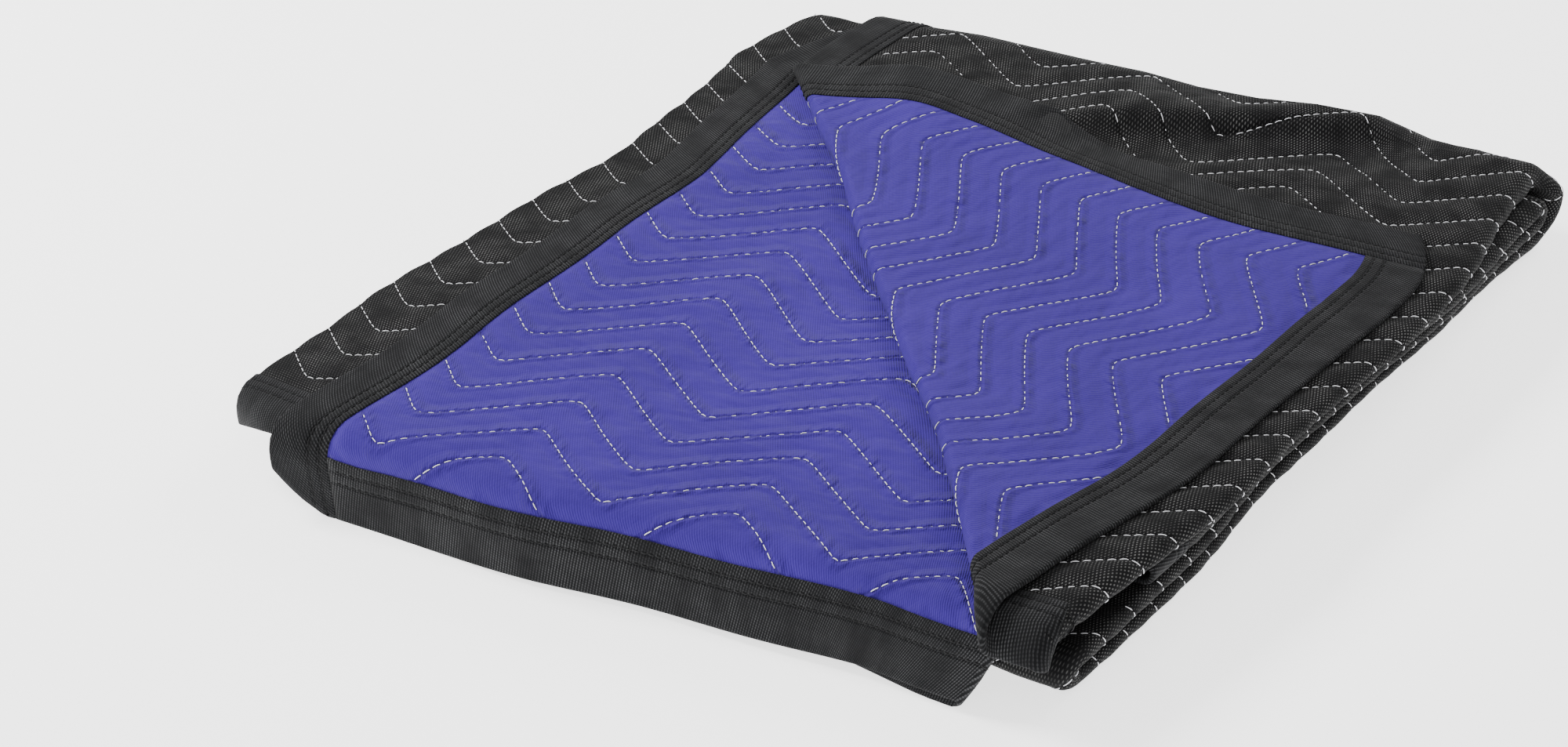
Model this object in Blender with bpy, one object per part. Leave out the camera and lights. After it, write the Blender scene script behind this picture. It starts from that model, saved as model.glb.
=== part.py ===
# Quilted moving blanket, folded to a stack of sixteen plies with one corner turned back.
# Metres, +Z up. X runs along the front edge to the right, Y runs to the back, and the stack rests on z = 0.
# The cloth is cut flat in (u, v, w): u across the width, v along the length, w through the cloth with the
# black face at +w. It is then folded in quarters across u, in quarters along v, and laid down.

import bisect
import math

import bmesh
import bpy
from mathutils import Vector

# The cloth and its tape
CLOTH_HALF = 0.0011          # half thickness of the quilted cloth on a crown between two seams
SEAM_HALF = 0.0006           # half thickness where a seam draws the cloth in
BOUND_HALF = 0.0004          # half thickness of the cloth pressed flat inside the tape
TAPE_WIDTH = 0.031           # visible width of the binding tape on each face
TAPE_OUT = 0.00135           # half thickness of a bound edge, over the tape
TAPE_IN = 0.00085            # half thickness of the slot in the tape
TAPE_WEB = 0.0010            # depth of the tape's fold round the edge
CLEAR = 0.0003               # gap kept between two pieces
CLOTH_INSET = TAPE_WEB + CLEAR

# The fold: ply pitch in a quarter, quarter pitch in the stack
PLY = 0.0031
QUARTER = 4 * PLY + 0.0004
FOLD_SMALL = PLY / 2         # radius of the two inner folds across the width
FOLD_BIG = 3 * PLY / 2       # radius of the outer fold across the width
TURN_SMALL = QUARTER / 2     # radius of the two inner folds along the length
TURN_BIG = 3 * QUARTER / 2   # radius of the outer fold along the length

# Underside of the lowest ply, before the stack is lowered to the floor
RESTS_AT = 0.5 * QUARTER - 1.5 * PLY - CLOTH_HALF

# Where the folds lie in plan
TOP_EDGE_X = 0.052           # free edge of the top ply
PAGE_EDGE_X = 0.050          # free edge of the page below it
LEFT_FOLD_X = 0.013
RIGHT_FOLD_X = 0.477
INNER_FOLD_X = 0.470
BACK_TURN_Y = 0.480
INNER_TURN_Y = 0.473
FRONT_TURN_Y = 0.022
LAST_EDGE_Y = 0.040          # free edge of the last quarter, at the front

# The corner turned back: its crease runs from the left edge to the front edge of the top ply
CREASE_BACK = Vector((0.047, 0.419))
CREASE_FRONT = Vector((0.430, 0.008))
CREASE_RADIUS = 0.0036
CREASE_BEND = math.pi * CREASE_RADIUS
# Columns: distance past the bend, height of the turned corner over the ply it lies on
CREASE_LOFT = ((0.0, 2 * CREASE_RADIUS), (0.022, 0.0046), (0.060, PLY))
TURNED_BOW = 0.018           # how far the turned corner's back edge bows out
TURNED_BACK = (Vector((0.047, 0.419)), Vector((0.455, 0.380)))     # ends of that edge in plan
HIDDEN_FROM = 0.030          # plies further than this behind the crease are hidden by the turned corner
CREASE_DIR = (CREASE_FRONT - CREASE_BACK).normalized()
CREASE_OUT = Vector((CREASE_DIR.y, -CREASE_DIR.x))   # towards the corner before it is turned

# Quilting: zigzag seams that run across the width
SEAM_PITCH = 0.0252
ZIG_PERIOD = 0.127
ZIG_HEIGHT = 0.044           # peak to peak
ZIG_PHASE = 0.059            # u of the first peak
SEAM_START = 0.010           # mean v of the first seam

# Columns: v, shift in x of the left fold, shift in x of the page's free edge
LEFT_SIDE = (
    (0.000, 0.000, -0.010),
    (0.050, -0.004, 0.004),
    (0.120, -0.005, 0.004),
    (0.220, 0.002, 0.002),
    (0.300, 0.005, -0.003),
    (0.360, 0.001, -0.012),
    (0.420, -0.008, -0.022),
    (0.480, 0.000, 0.000),
)
# Shift in y of the top quarter's front edge, at each fold mark across the width
FRONT_SHIFT = (0.008, 0.008, 0.008, -0.012, -0.012, -0.028, -0.028, -0.036)
# The front of the top quarter hangs over the quarters below it, in flat facets.
# Columns: y where a facet starts, its slope in degrees
DRAPE = ((0.072, 5.0), (0.062, 11.0), (0.050, 17.0), (0.0045, 30.0))
DRAPE_FROM = 0.20            # behind this the cloth isn't moved at all
DRAPE_TO = -0.060
RIGHT_TUCK = 0.022           # how far the top quarter's right fold is drawn in at the front
LOWER_SKEW = 0.062           # how far the lower quarters lie back at the front left
LAST_BACK = 0.036            # how far the last quarter's front edge lies behind the hanging front


def table(rows, key, column):
    """Read a table's column at key, with straight lines between the rows."""
    keys = [row[0] for row in rows]
    spot = min(max(bisect.bisect_right(keys, key), 1), len(rows) - 1)
    low, high = rows[spot - 1], rows[spot]
    share = min(max((key - low[0]) / (high[0] - low[0]), 0.0), 1.0)
    return low[column] + (high[column] - low[column]) * share


def ease(value):
    """Smooth step from 0 to 1."""
    value = min(max(value, 0.0), 1.0)
    return value * value * (3 - 2 * value)


def running(spans):
    """Start of each span, and the end of the last one."""
    marks = [0.0]
    for span in spans:
        marks.append(marks[-1] + span)
    return marks


# Where the spans and folds start: first across the width, then along the length
U_MARKS = running((
    RIGHT_FOLD_X - TOP_EDGE_X,
    math.pi * FOLD_BIG,
    RIGHT_FOLD_X - LEFT_FOLD_X,
    math.pi * FOLD_SMALL,
    INNER_FOLD_X - LEFT_FOLD_X,
    math.pi * FOLD_SMALL,
    INNER_FOLD_X - PAGE_EDGE_X,
))
V_MARKS = running((
    BACK_TURN_Y,
    math.pi * TURN_BIG,
    BACK_TURN_Y - FRONT_TURN_Y,
    math.pi * TURN_SMALL,
    INNER_TURN_Y - FRONT_TURN_Y,
    math.pi * TURN_SMALL,
    INNER_TURN_Y - LAST_EDGE_Y,
))
CLOTH_U = U_MARKS[-1]
CLOTH_V = V_MARKS[-1]


def quarter_fold(marks, value, far, near, inner, pitch, small, big):
    """Fold a length in quarters, seen in section: point, and direction of the face that starts on top.

    The first span runs from near to far at 3.5 pitches, then an outer fold comes down to 0.5, a small one
    goes up to 1.5, and an inner one up to 2.5.
    """
    spot = min(max(bisect.bisect_right(marks, value) - 1, 0), 6)
    into = value - marks[spot]
    if spot == 0:
        return Vector((far - marks[1] + value, 3.5 * pitch)), Vector((0, 1))
    if spot == 2:
        return Vector((far - into, 0.5 * pitch)), Vector((0, -1))
    if spot == 4:
        return Vector((near + into, 1.5 * pitch)), Vector((0, 1))
    if spot == 6:
        return Vector((inner - into, 2.5 * pitch)), Vector((0, -1))
    centre, radius, start, sense = {
        1: (Vector((far, 2 * pitch)), big, 0.5, -1),
        3: (Vector((near, pitch)), small, -0.5, -1),
        5: (Vector((inner, 2 * pitch)), small, -0.5, 1),
    }[spot]
    angle = math.pi * start + sense * into / radius
    out = Vector((math.cos(angle), math.sin(angle)))
    return centre + radius * out, -sense * out


def hanging_path():
    """The drape's kinks: y on the flat cloth, point (y, z) from the flat, and the mitred direction up."""
    path = [(DRAPE_FROM, Vector((DRAPE_FROM, 0)), Vector((0, 1)))]
    spot, behind = Vector((DRAPE_FROM, 0)), 0.0
    for start, degrees in DRAPE + ((DRAPE_TO, DRAPE[-1][1]),):
        length = path[-1][0] - start
        spot = spot - length * Vector((math.cos(behind), math.sin(behind)))
        slope = math.radians(degrees)
        middle, half = (slope + behind) / 2, (slope - behind) / 2
        path.append((start, spot, Vector((-math.sin(middle), math.cos(middle))) / math.cos(half)))
        behind = slope
    return path


PATH = hanging_path()


def hanging(reach, lift):
    """Point (y, z) of the top quarter's front, at a place along the cloth and a height over its middle."""
    if reach >= DRAPE_FROM:
        return Vector((reach, lift))
    spot = 0
    while spot < len(PATH) - 2 and reach < PATH[spot + 1][0]:
        spot += 1
    near, far = PATH[spot], PATH[spot + 1]
    share = (near[0] - reach) / (near[0] - far[0])
    return near[1].lerp(far[1], share) + near[2].lerp(far[2], share) * lift


def bow(x, y):
    """How far the turned corner is pushed back at a place in plan: nothing at the crease, all at its edge."""
    start, end = TURNED_BACK
    along = min(max((x - start.x) / (end.x - start.x), 0.0), 1.0)
    crease = CREASE_BACK.y + (x - CREASE_BACK.x) * CREASE_DIR.y / CREASE_DIR.x
    depth = start.y + (end.y - start.y) * along - crease
    return TURNED_BOW * 4 * along * (1 - along) * min(max((y - crease) / max(depth, 0.02), 0.0), 1.1)


def turn_corner(x, y, w):
    """Turn the top ply's corner back over its crease: new x, y and height over that ply."""
    spot = Vector((x, y)) - CREASE_BACK
    past = spot.dot(CREASE_OUT)
    if past <= 0:
        return x, y, w
    foot = CREASE_BACK + CREASE_DIR * spot.dot(CREASE_DIR)
    if past < CREASE_BEND:
        angle = past / CREASE_RADIUS
        spot = foot + CREASE_OUT * (CREASE_RADIUS - w) * math.sin(angle)
        return spot.x, spot.y, CREASE_RADIUS - (CREASE_RADIUS - w) * math.cos(angle)
    spot = foot - CREASE_OUT * (past - CREASE_BEND)
    return spot.x, spot.y + bow(spot.x, spot.y), table(CREASE_LOFT, past - CREASE_BEND, 1) - w


def front_shift(u):
    """Shift in y of the top quarter's front edge, at a place across the width."""
    spot = min(max(bisect.bisect_right(U_MARKS, u), 1), len(U_MARKS) - 1)
    share = (u - U_MARKS[spot - 1]) / (U_MARKS[spot] - U_MARKS[spot - 1])
    return FRONT_SHIFT[spot - 1] + (FRONT_SHIFT[spot] - FRONT_SHIFT[spot - 1]) * share


def front_place(u, v):
    """Place along y of a point of the top quarter, whose plies' front edges don't lie in line."""
    return v + front_shift(u) * (1 - v / V_MARKS[1])


def flat_length(u, y):
    """The v at which a place across the width lies at y in the top quarter."""
    shift = front_shift(u)
    return (y - shift) / (1 - shift / V_MARKS[1])


def place(u, v, w):
    """Carry a point of the flat cloth to its place in the folded stack."""
    (x, high), black = quarter_fold(U_MARKS, u, RIGHT_FOLD_X, LEFT_FOLD_X, INNER_FOLD_X, PLY,
                                    FOLD_SMALL, FOLD_BIG)
    x += black.x * w
    high += black.y * w
    if v < V_MARKS[1]:
        y = front_place(u, v)
        if u > U_MARKS[1]:
            stray = table(LEFT_SIDE, v, 1 if u < U_MARKS[5] else 2)
            x += stray * min(max((0.26 - x) / 0.17, 0.0), 1.0)
        else:
            x, y, rise = turn_corner(x, y, w)
            high = 3.5 * PLY + rise
        x -= RIGHT_TUCK * ease((x - 0.34) / 0.12) * max((DRAPE[1][0] - y) / 0.10, 0.0)
        y, z = hanging(y, high - 2 * PLY)
        z += 3.5 * QUARTER
    else:
        (y, z), upper = quarter_fold(V_MARKS, v, BACK_TURN_Y, FRONT_TURN_Y, INNER_TURN_Y, QUARTER,
                                     TURN_SMALL, TURN_BIG)
        y += upper.x * (high - 2 * PLY)
        z += upper.y * (high - 2 * PLY)
        front = 1 - ease((y - 0.02) / 0.34)
        y += front * (LAST_BACK if v > V_MARKS[6] else LOWER_SKEW * (1 - x / RIGHT_FOLD_X))
    return settle(x, y, z)


def settle(x, y, z):
    """Uneven lie of the whole stack: the ridges at the right run in and out."""
    right = ease((x - 0.36) / 0.10)
    stray = 0.0030 * math.sin(13 * y + 60 * z + 0.5) + 0.0014 * math.sin(27 * y - 40 * z)
    return Vector((x + stray * right, y, max(z, RESTS_AT)))


def zigzag(u):
    """Height of the zigzag across the seams' run."""
    share = ((u - ZIG_PHASE) / ZIG_PERIOD) % 1.0
    return ZIG_HEIGHT * (abs(share - 0.5) * 2 - 0.5)


def half_thickness(u, v):
    """Half thickness of the quilted cloth: pressed flat under the tape, drawn in at each seam."""
    edge = min(u, CLOTH_U - u, v, CLOTH_V - v)
    seam = (v - zigzag(u) - SEAM_START) / SEAM_PITCH
    crown = math.sin(math.pi * abs(seam - round(seam)))
    full = SEAM_HALF + (CLOTH_HALF - SEAM_HALF) * crown
    return BOUND_HALF + (full - BOUND_HALF) * ease((edge - TAPE_WIDTH - CLEAR) / 0.004)


def cut(sheet, co, no, keep=lambda u, v: True):
    """Cut the flat sheet along a line, in the faces whose middle passes keep."""
    faces = [face for face in sheet.faces if keep(*face.calc_center_median().xy)]
    edges = {edge for face in faces for edge in face.edges}
    verts = {vert for face in faces for vert in face.verts}
    bmesh.ops.bisect_plane(sheet, geom=list(verts) + list(edges) + faces, dist=1e-6,
                           plane_co=(co[0], co[1], 0), plane_no=(no[0], no[1], 0))


def spread(start, end, count):
    """Evenly spread values from start to end."""
    return [start + (end - start) * index / count for index in range(count + 1)]


# Lines across and along the cloth that its folds and bends need
FOLD_LINES = (spread(U_MARKS[1], U_MARKS[2], 5) + spread(U_MARKS[3], U_MARKS[4], 4)
              + spread(U_MARKS[5], U_MARKS[6], 4))
TURN_LINES = (spread(V_MARKS[1], V_MARKS[2], 6) + spread(V_MARKS[3], V_MARKS[4], 4)
              + spread(V_MARKS[5], V_MARKS[6], 4))
RIDGE_LINES = (spread(0.09, 0.42, 6) + spread(V_MARKS[2] + 0.09, V_MARKS[3] - 0.07, 3)
               + spread(V_MARKS[4] + 0.07, V_MARKS[5] - 0.09, 3) + spread(V_MARKS[6] + 0.10, CLOTH_V - 0.10, 3))
QUILT_ROWS = [0.12, 0.24, 0.36]
BEND_LINES = spread(0.0, CREASE_BEND, 4) + [CREASE_BEND + row[0] for row in CREASE_LOFT[1:]]
TURNED_LINES = [TAPE_WIDTH + CLEAR] + spread(0.05, 0.39, 17)    # across the turned corner's bowed side edge
TURNED_FRONT_LINES = spread(0.05, 0.29, 8)                      # across its front edge


def on_flat(spot):
    """Where a point of the top ply, seen in plan, lies on the flat cloth."""
    shift = FRONT_SHIFT[0]
    return Vector((spot.x - TOP_EDGE_X, (spot.y - shift) / (1 - shift / V_MARKS[1])))


def bend_line(past):
    """Two points on the flat cloth of the line that lies a distance past the crease."""
    return on_flat(CREASE_BACK + CREASE_OUT * past), on_flat(CREASE_FRONT + CREASE_OUT * past)


def past_crease(u, v):
    """Distance past the crease of a place on the top ply, in plan before it is turned."""
    return (Vector((TOP_EDGE_X + u, front_place(u, v))) - CREASE_BACK).dot(CREASE_OUT)


def turned_line(y):
    """Two points on the flat cloth of the line that lies at y once the corner is turned back."""
    points = []
    for x in (0.36, 0.44):
        spot = Vector((x, y)) - CREASE_BACK
        behind = -spot.dot(CREASE_OUT)
        points.append(on_flat(CREASE_BACK + spot + CREASE_OUT * (2 * behind + CREASE_BEND)))
    return points


def on_top_ply(u, v):
    return u < U_MARKS[1] and v < V_MARKS[1]


def outer_quarter(u, v):
    """The top quarter's outer plies: the top ply with its fold, and the page under it."""
    return v < V_MARKS[1] and (u < U_MARKS[2] or u > U_MARKS[6])


def quilt_shows(u, v):
    """Where the quilting shows from outside, seen against the crease."""
    if not outer_quarter(u, v):
        return False
    if U_MARKS[1] < u < U_MARKS[2]:
        return True
    x = TOP_EDGE_X + u if u < U_MARKS[1] else INNER_FOLD_X - (u - U_MARKS[6])
    spot = Vector((x, front_place(u, v)))
    past = (spot - CREASE_BACK).dot(CREASE_OUT)
    if past > -HIDDEN_FROM:
        return True
    over = spot - 2 * past * CREASE_OUT
    return u < U_MARKS[1] and (over.x < TOP_EDGE_X or over.y < FRONT_SHIFT[0])


def cut_between(sheet, near, far, keep):
    """Cut the flat sheet along the line through two points."""
    cut(sheet, near, (near[1] - far[1], far[0] - near[0]), keep)


def cut_for_folds(sheet):
    """Cut a flat sheet wherever the folded shape changes direction, so that each facet stays flat."""
    for u in FOLD_LINES:
        cut(sheet, (u, 0), (1, 0))
    for v in TURN_LINES:
        cut(sheet, (0, v), (0, 1))
    for past in BEND_LINES:
        cut_between(sheet, *bend_line(past), on_top_ply)
    for y, _slope in DRAPE:
        for start, end in zip(U_MARKS, U_MARKS[1:]):
            near, far = (start, flat_length(start, y)), (end, flat_length(end, y))
            cut_between(sheet, near, far, lambda u, v, a=start, b=end: (
                a < u < b and v < V_MARKS[1] and not (on_top_ply(u, v) and past_crease(u, v) > CREASE_BEND)))
        cut_between(sheet, *turned_line(y), lambda u, v: on_top_ply(u, v) and past_crease(u, v) > 0)
    for v, _fold, _page in LEFT_SIDE[1:-1]:
        cut(sheet, (0, v), (0, 1), lambda u, b: u > CLOTH_U - 0.034 or U_MARKS[3] < u < U_MARKS[4])
    for v in TURNED_LINES:
        cut(sheet, (0, v), (0, 1), lambda u, b: u < 0.034 and on_top_ply(u, b))
    for u in TURNED_FRONT_LINES:
        cut(sheet, (u, 0), (1, 0), lambda a, v: v < 0.034 and on_top_ply(a, v))


def flat_cloth():
    """The cloth laid flat, cut along every fold line, seam and crown."""
    sheet = bmesh.new()
    bmesh.ops.create_grid(sheet, x_segments=1, y_segments=1, size=0.5)
    for vert in sheet.verts:
        vert.co.x = CLOTH_INSET if vert.co.x < 0 else CLOTH_U - CLOTH_INSET
        vert.co.y = CLOTH_INSET if vert.co.y < 0 else CLOTH_V - CLOTH_INSET
    rim = TAPE_WIDTH + CLEAR
    for inset in (rim, rim + 0.004):
        for u in (inset, CLOTH_U - inset):
            cut(sheet, (u, 0), (1, 0))
        for v in (inset, CLOTH_V - inset):
            cut(sheet, (0, v), (0, 1))
    cut_for_folds(sheet)
    for v in RIDGE_LINES:
        cut(sheet, (0, v), (0, 1), lambda a, b: not outer_quarter(a, b))
    leg = ZIG_PERIOD / 2
    first = ZIG_PHASE % leg
    legs = [first + leg * count - leg for count in range(int(CLOTH_U / leg) + 2)]
    for corner in legs:
        if not U_MARKS[1] < corner < U_MARKS[2]:
            cut(sheet, (corner, 0), (1, 0), outer_quarter)
    for v in QUILT_ROWS:
        cut(sheet, (0, v), (0, 1), outer_quarter)
    rows = int(V_MARKS[1] / SEAM_PITCH * 2) + 2
    for corner in legs:
        slant = (zigzag(corner + leg * 0.75) - zigzag(corner + leg * 0.25)) / (leg / 2)
        for row in range(-3, rows):
            start = SEAM_START + SEAM_PITCH * row / 2 + zigzag(corner + 1e-9)
            cut(sheet, (corner, start), (-slant, 1),
                lambda u, v, a=corner, b=corner + leg: a < u < b and quilt_shows(u, v))
    return sheet


def solid_cloth():
    """The quilted cloth: the flat sheet given its thickness, then folded."""
    sheet = flat_cloth()
    bmesh.ops.triangulate(sheet, faces=sheet.faces)
    under = list(sheet.verts)
    raised = bmesh.ops.extrude_face_region(sheet, geom=list(sheet.faces))
    upper = [item for item in raised["geom"] if isinstance(item, bmesh.types.BMVert)]
    for vert in under:
        vert.co.z = -1.0
    for vert in upper:
        vert.co.z = 1.0
    bmesh.ops.recalc_face_normals(sheet, faces=sheet.faces)
    for vert in sheet.verts:
        u, v, side = vert.co
        half = half_thickness(u, v)
        lowest_ply = u < U_MARKS[1] and V_MARKS[2] < v < V_MARKS[3]
        if lowest_ply and side > 0 and half > BOUND_HALF:
            half = CLOTH_HALF
        vert.co = place(u, v, side * half)
    bmesh.ops.triangulate(sheet, faces=sheet.faces)
    return sheet


def solid_tape(u_span, v_span, depth_of):
    """A binding tape folded round an edge: two leaves and the web between them, given their thickness."""
    sheet = bmesh.new()
    corners = [(u, v) for u in u_span for v in v_span]
    top = {corner: sheet.verts.new((*corner, 1.0)) for corner in corners}
    under = {corner: sheet.verts.new((*corner, -1.0)) for corner in corners}
    loop = [corners[index] for index in (0, 1, 3, 2)]
    sheet.faces.new([top[corner] for corner in loop])
    sheet.faces.new([under[corner] for corner in reversed(loop)])
    edge = [corner for corner in corners if depth_of(*corner) < 1e-9]
    sheet.faces.new((top[edge[0]], top[edge[1]], under[edge[1]], under[edge[0]]))
    cut_for_folds(sheet)
    bmesh.ops.triangulate(sheet, faces=sheet.faces)
    outer = list(sheet.verts)
    raised = bmesh.ops.extrude_face_region(sheet, geom=list(sheet.faces))
    inner = [item for item in raised["geom"] if isinstance(item, bmesh.types.BMVert)]
    for vert in outer:
        u, v, side = vert.co
        vert.co = place(u, v, side * TAPE_OUT)
    for vert in inner:
        u, v, side = vert.co
        depth = depth_of(u, v)
        inward = TAPE_WEB * (1 - depth / TAPE_WIDTH)
        if abs(depth_of(u + inward, v) - depth) > 1e-9:
            u += inward if depth_of(u + inward, v) > depth else -inward
        else:
            v += inward if depth_of(u, v + inward) > depth else -inward
        vert.co = place(u, v, side * TAPE_IN)
    bmesh.ops.triangulate(sheet, faces=sheet.faces)
    bmesh.ops.recalc_face_normals(sheet, faces=sheet.faces)
    return sheet


def finish(name, rgb, roughness):
    """A cloth finish."""
    material = bpy.data.materials.new(name)
    material.use_nodes = True
    shader = material.node_tree.nodes["Principled BSDF"]
    shader.inputs["Base Color"].default_value = (*rgb, 1.0)
    shader.inputs["Roughness"].default_value = roughness
    shader.inputs["Metallic"].default_value = 0.0
    return material


def add_piece(collection, name, shape, material):
    """Put a shape in the scene as a named object."""
    mesh = bpy.data.meshes.new(name)
    shape.to_mesh(mesh)
    shape.free()
    mesh.materials.append(material)
    piece = bpy.data.objects.new(name, mesh)
    collection.objects.link(piece)
    return piece


def stand_on_floor(pieces):
    """Centre the stack on the origin, with its underside at z = 0."""
    points = [vert.co for piece in pieces for vert in piece.data.vertices]
    low = Vector([min(point[axis] for point in points) for axis in range(3)])
    high = Vector([max(point[axis] for point in points) for axis in range(3)])
    shift = Vector((-(low.x + high.x) / 2, -(low.y + high.y) / 2, -low.z))
    for piece in pieces:
        for vert in piece.data.vertices:
            vert.co += shift
        piece.data.update()
    print("stack moved by", tuple(round(value, 6) for value in shift))
    print("stack size", tuple(round(value, 4) for value in (high - low)))


def main():
    for item in list(bpy.data.objects):
        bpy.data.objects.remove(item, do_unlink=True)
    stack = bpy.data.collections.new("moving_blanket")
    bpy.context.scene.collection.children.link(stack)
    blue = finish("quilted_cloth_blue", (0.075, 0.066, 0.375), 0.85)
    tape = finish("binding_tape_black", (0.026, 0.027, 0.029), 0.80)
    width = TAPE_WIDTH
    between = (width + CLEAR, CLOTH_U - width - CLEAR)
    whole = (0.0, CLOTH_V)
    top_side = solid_tape((0.0, width), whole, lambda u, v: u)
    page_side = solid_tape((CLOTH_U - width, CLOTH_U), whole, lambda u, v: CLOTH_U - u)
    front = solid_tape(between, (0.0, width), lambda u, v: v)
    last = solid_tape(between, (CLOTH_V - width, CLOTH_V), lambda u, v: CLOTH_V - v)
    pieces = [
        add_piece(stack, "quilted_cloth", solid_cloth(), blue),
        add_piece(stack, "binding_top_side", top_side, tape),
        add_piece(stack, "binding_page_side", page_side, tape),
        add_piece(stack, "binding_front", front, tape),
        add_piece(stack, "binding_last", last, tape),
    ]
    stand_on_floor(pieces)
    for piece in pieces:
        print(piece.name, len(piece.data.polygons))


main()
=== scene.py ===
"""Looks of a quilted moving blanket, folded to a flat stack with one corner turned back.

The cloth is laid out flat in (u, v, w): u across its width, v along its length, and w through it, with the
black face at +w and the blue face at -w. One mapping folds every piece, so cloth, tape and thread stay
together. All lengths are in metres.
"""

from __future__ import annotations

import logging
import math
from dataclasses import dataclass, field
from enum import Enum
from typing import Sequence

import bmesh
import bpy
import numpy as np
from mathutils import Matrix, Vector

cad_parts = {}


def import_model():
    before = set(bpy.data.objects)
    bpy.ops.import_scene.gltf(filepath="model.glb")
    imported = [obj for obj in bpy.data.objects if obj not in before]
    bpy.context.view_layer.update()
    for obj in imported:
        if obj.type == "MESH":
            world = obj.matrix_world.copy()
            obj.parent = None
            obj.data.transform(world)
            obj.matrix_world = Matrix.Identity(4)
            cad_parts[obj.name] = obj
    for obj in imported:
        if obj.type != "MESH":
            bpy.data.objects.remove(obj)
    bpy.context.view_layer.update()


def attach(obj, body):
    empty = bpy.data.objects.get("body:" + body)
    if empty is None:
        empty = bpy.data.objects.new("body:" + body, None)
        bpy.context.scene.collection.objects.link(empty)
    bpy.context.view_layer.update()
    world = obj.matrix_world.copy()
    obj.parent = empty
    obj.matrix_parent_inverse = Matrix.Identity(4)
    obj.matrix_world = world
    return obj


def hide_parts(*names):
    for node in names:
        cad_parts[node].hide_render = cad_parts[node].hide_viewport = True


LOG = logging.getLogger("moving_blanket")

Array = np.ndarray


def ease(value: Array | float) -> Array | float:
    """Smooth step.

    Args:
        value: Any numbers.

    Returns:
        0 below 0, 1 above 1, and a smooth run between.
    """
    clipped = np.clip(value, 0.0, 1.0)
    return clipped * clipped * (3 - 2 * clipped)


def ramp(value: Array | float, span: tuple[float, float]) -> Array | float:
    """Smooth step over a span.

    Args:
        value: Any numbers.
        span: Where the step leaves 0, and where it reaches 1.

    Returns:
        The step's value.
    """
    low, high = span
    return ease((value - low) / (high - low))


def read(table: Sequence[Sequence[float]], value: Array | float, column: int = 1) -> Array | float:
    """Look values up in a short table.

    Args:
        table: Rows that start with the place.
        value: The places to look up.
        column: The column to read.

    Returns:
        The column's values there, on straight runs between the rows.
    """
    rows = np.array(table)
    return np.interp(value, rows[:, 0], rows[:, column])


def tube_faces(rings: int, ring: int) -> list[tuple[int, int, int, int]]:
    """Faces between rings of points.

    Args:
        rings: How many rings there are.
        ring: How many points each has.

    Returns:
        The faces of the open tube.
    """
    return [(low * ring + side, low * ring + (side + 1) % ring, (low + 1) * ring + (side + 1) % ring,
             (low + 1) * ring + side) for low in range(rings - 1) for side in range(ring)]


def running(spans: Sequence[float]) -> Array:
    """Add up spans.

    Args:
        spans: Lengths of spans that follow each other.

    Returns:
        The start of each span and the end of the last one.
    """
    return np.concatenate([[0.0], np.cumsum(spans)])


def steps(marks: Sequence[tuple[float, float]], end: float) -> Array:
    """Stations along a line, with a different pitch on each stretch.

    Args:
        marks: Start of each stretch and the largest pitch on it.
        end: Where the last stretch ends.

    Returns:
        The stations, sorted and without repeats.
    """
    stations = [end]
    for (start, pitch), stop in zip(marks, [mark[0] for mark in marks[1:]] + [end]):
        count = max(1, math.ceil((stop - start) / pitch - 1e-6))
        stations.extend(start + (stop - start) * index / count for index in range(count))
    return np.unique(np.round(stations, 7))


class Face(Enum):
    """The two faces of the cloth, as the sign of w."""

    BLUE = -1
    BLACK = 1


class Slot(Enum):
    """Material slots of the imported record."""

    CLOTH = "quilted_cloth"
    TAPE = "binding_tape"


@dataclass(frozen=True)
class ClothSizes:
    """Thicknesses and widths of the cloth and its tape."""

    crown: float = 0.00135
    proud: float = 0.0024
    seam: float = 0.00055
    bound: float = 0.0006
    tape_width: float = 0.031
    tape_out: float = 0.00150
    tape_in: float = 0.00085
    tape_web: float = 0.0010
    gap: float = 0.0003
    crown_power: float = 1.05
    uneven: float = 0.24
    fills_over: float = 0.006

    @property
    def inset(self) -> float:
        """Distance from the edge of the tape to the edge of the cloth inside it."""
        return self.tape_web + self.gap

    @property
    def rim(self) -> float:
        """Distance from the edge of the tape to where the cloth comes out of it."""
        return self.tape_width + self.gap


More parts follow.
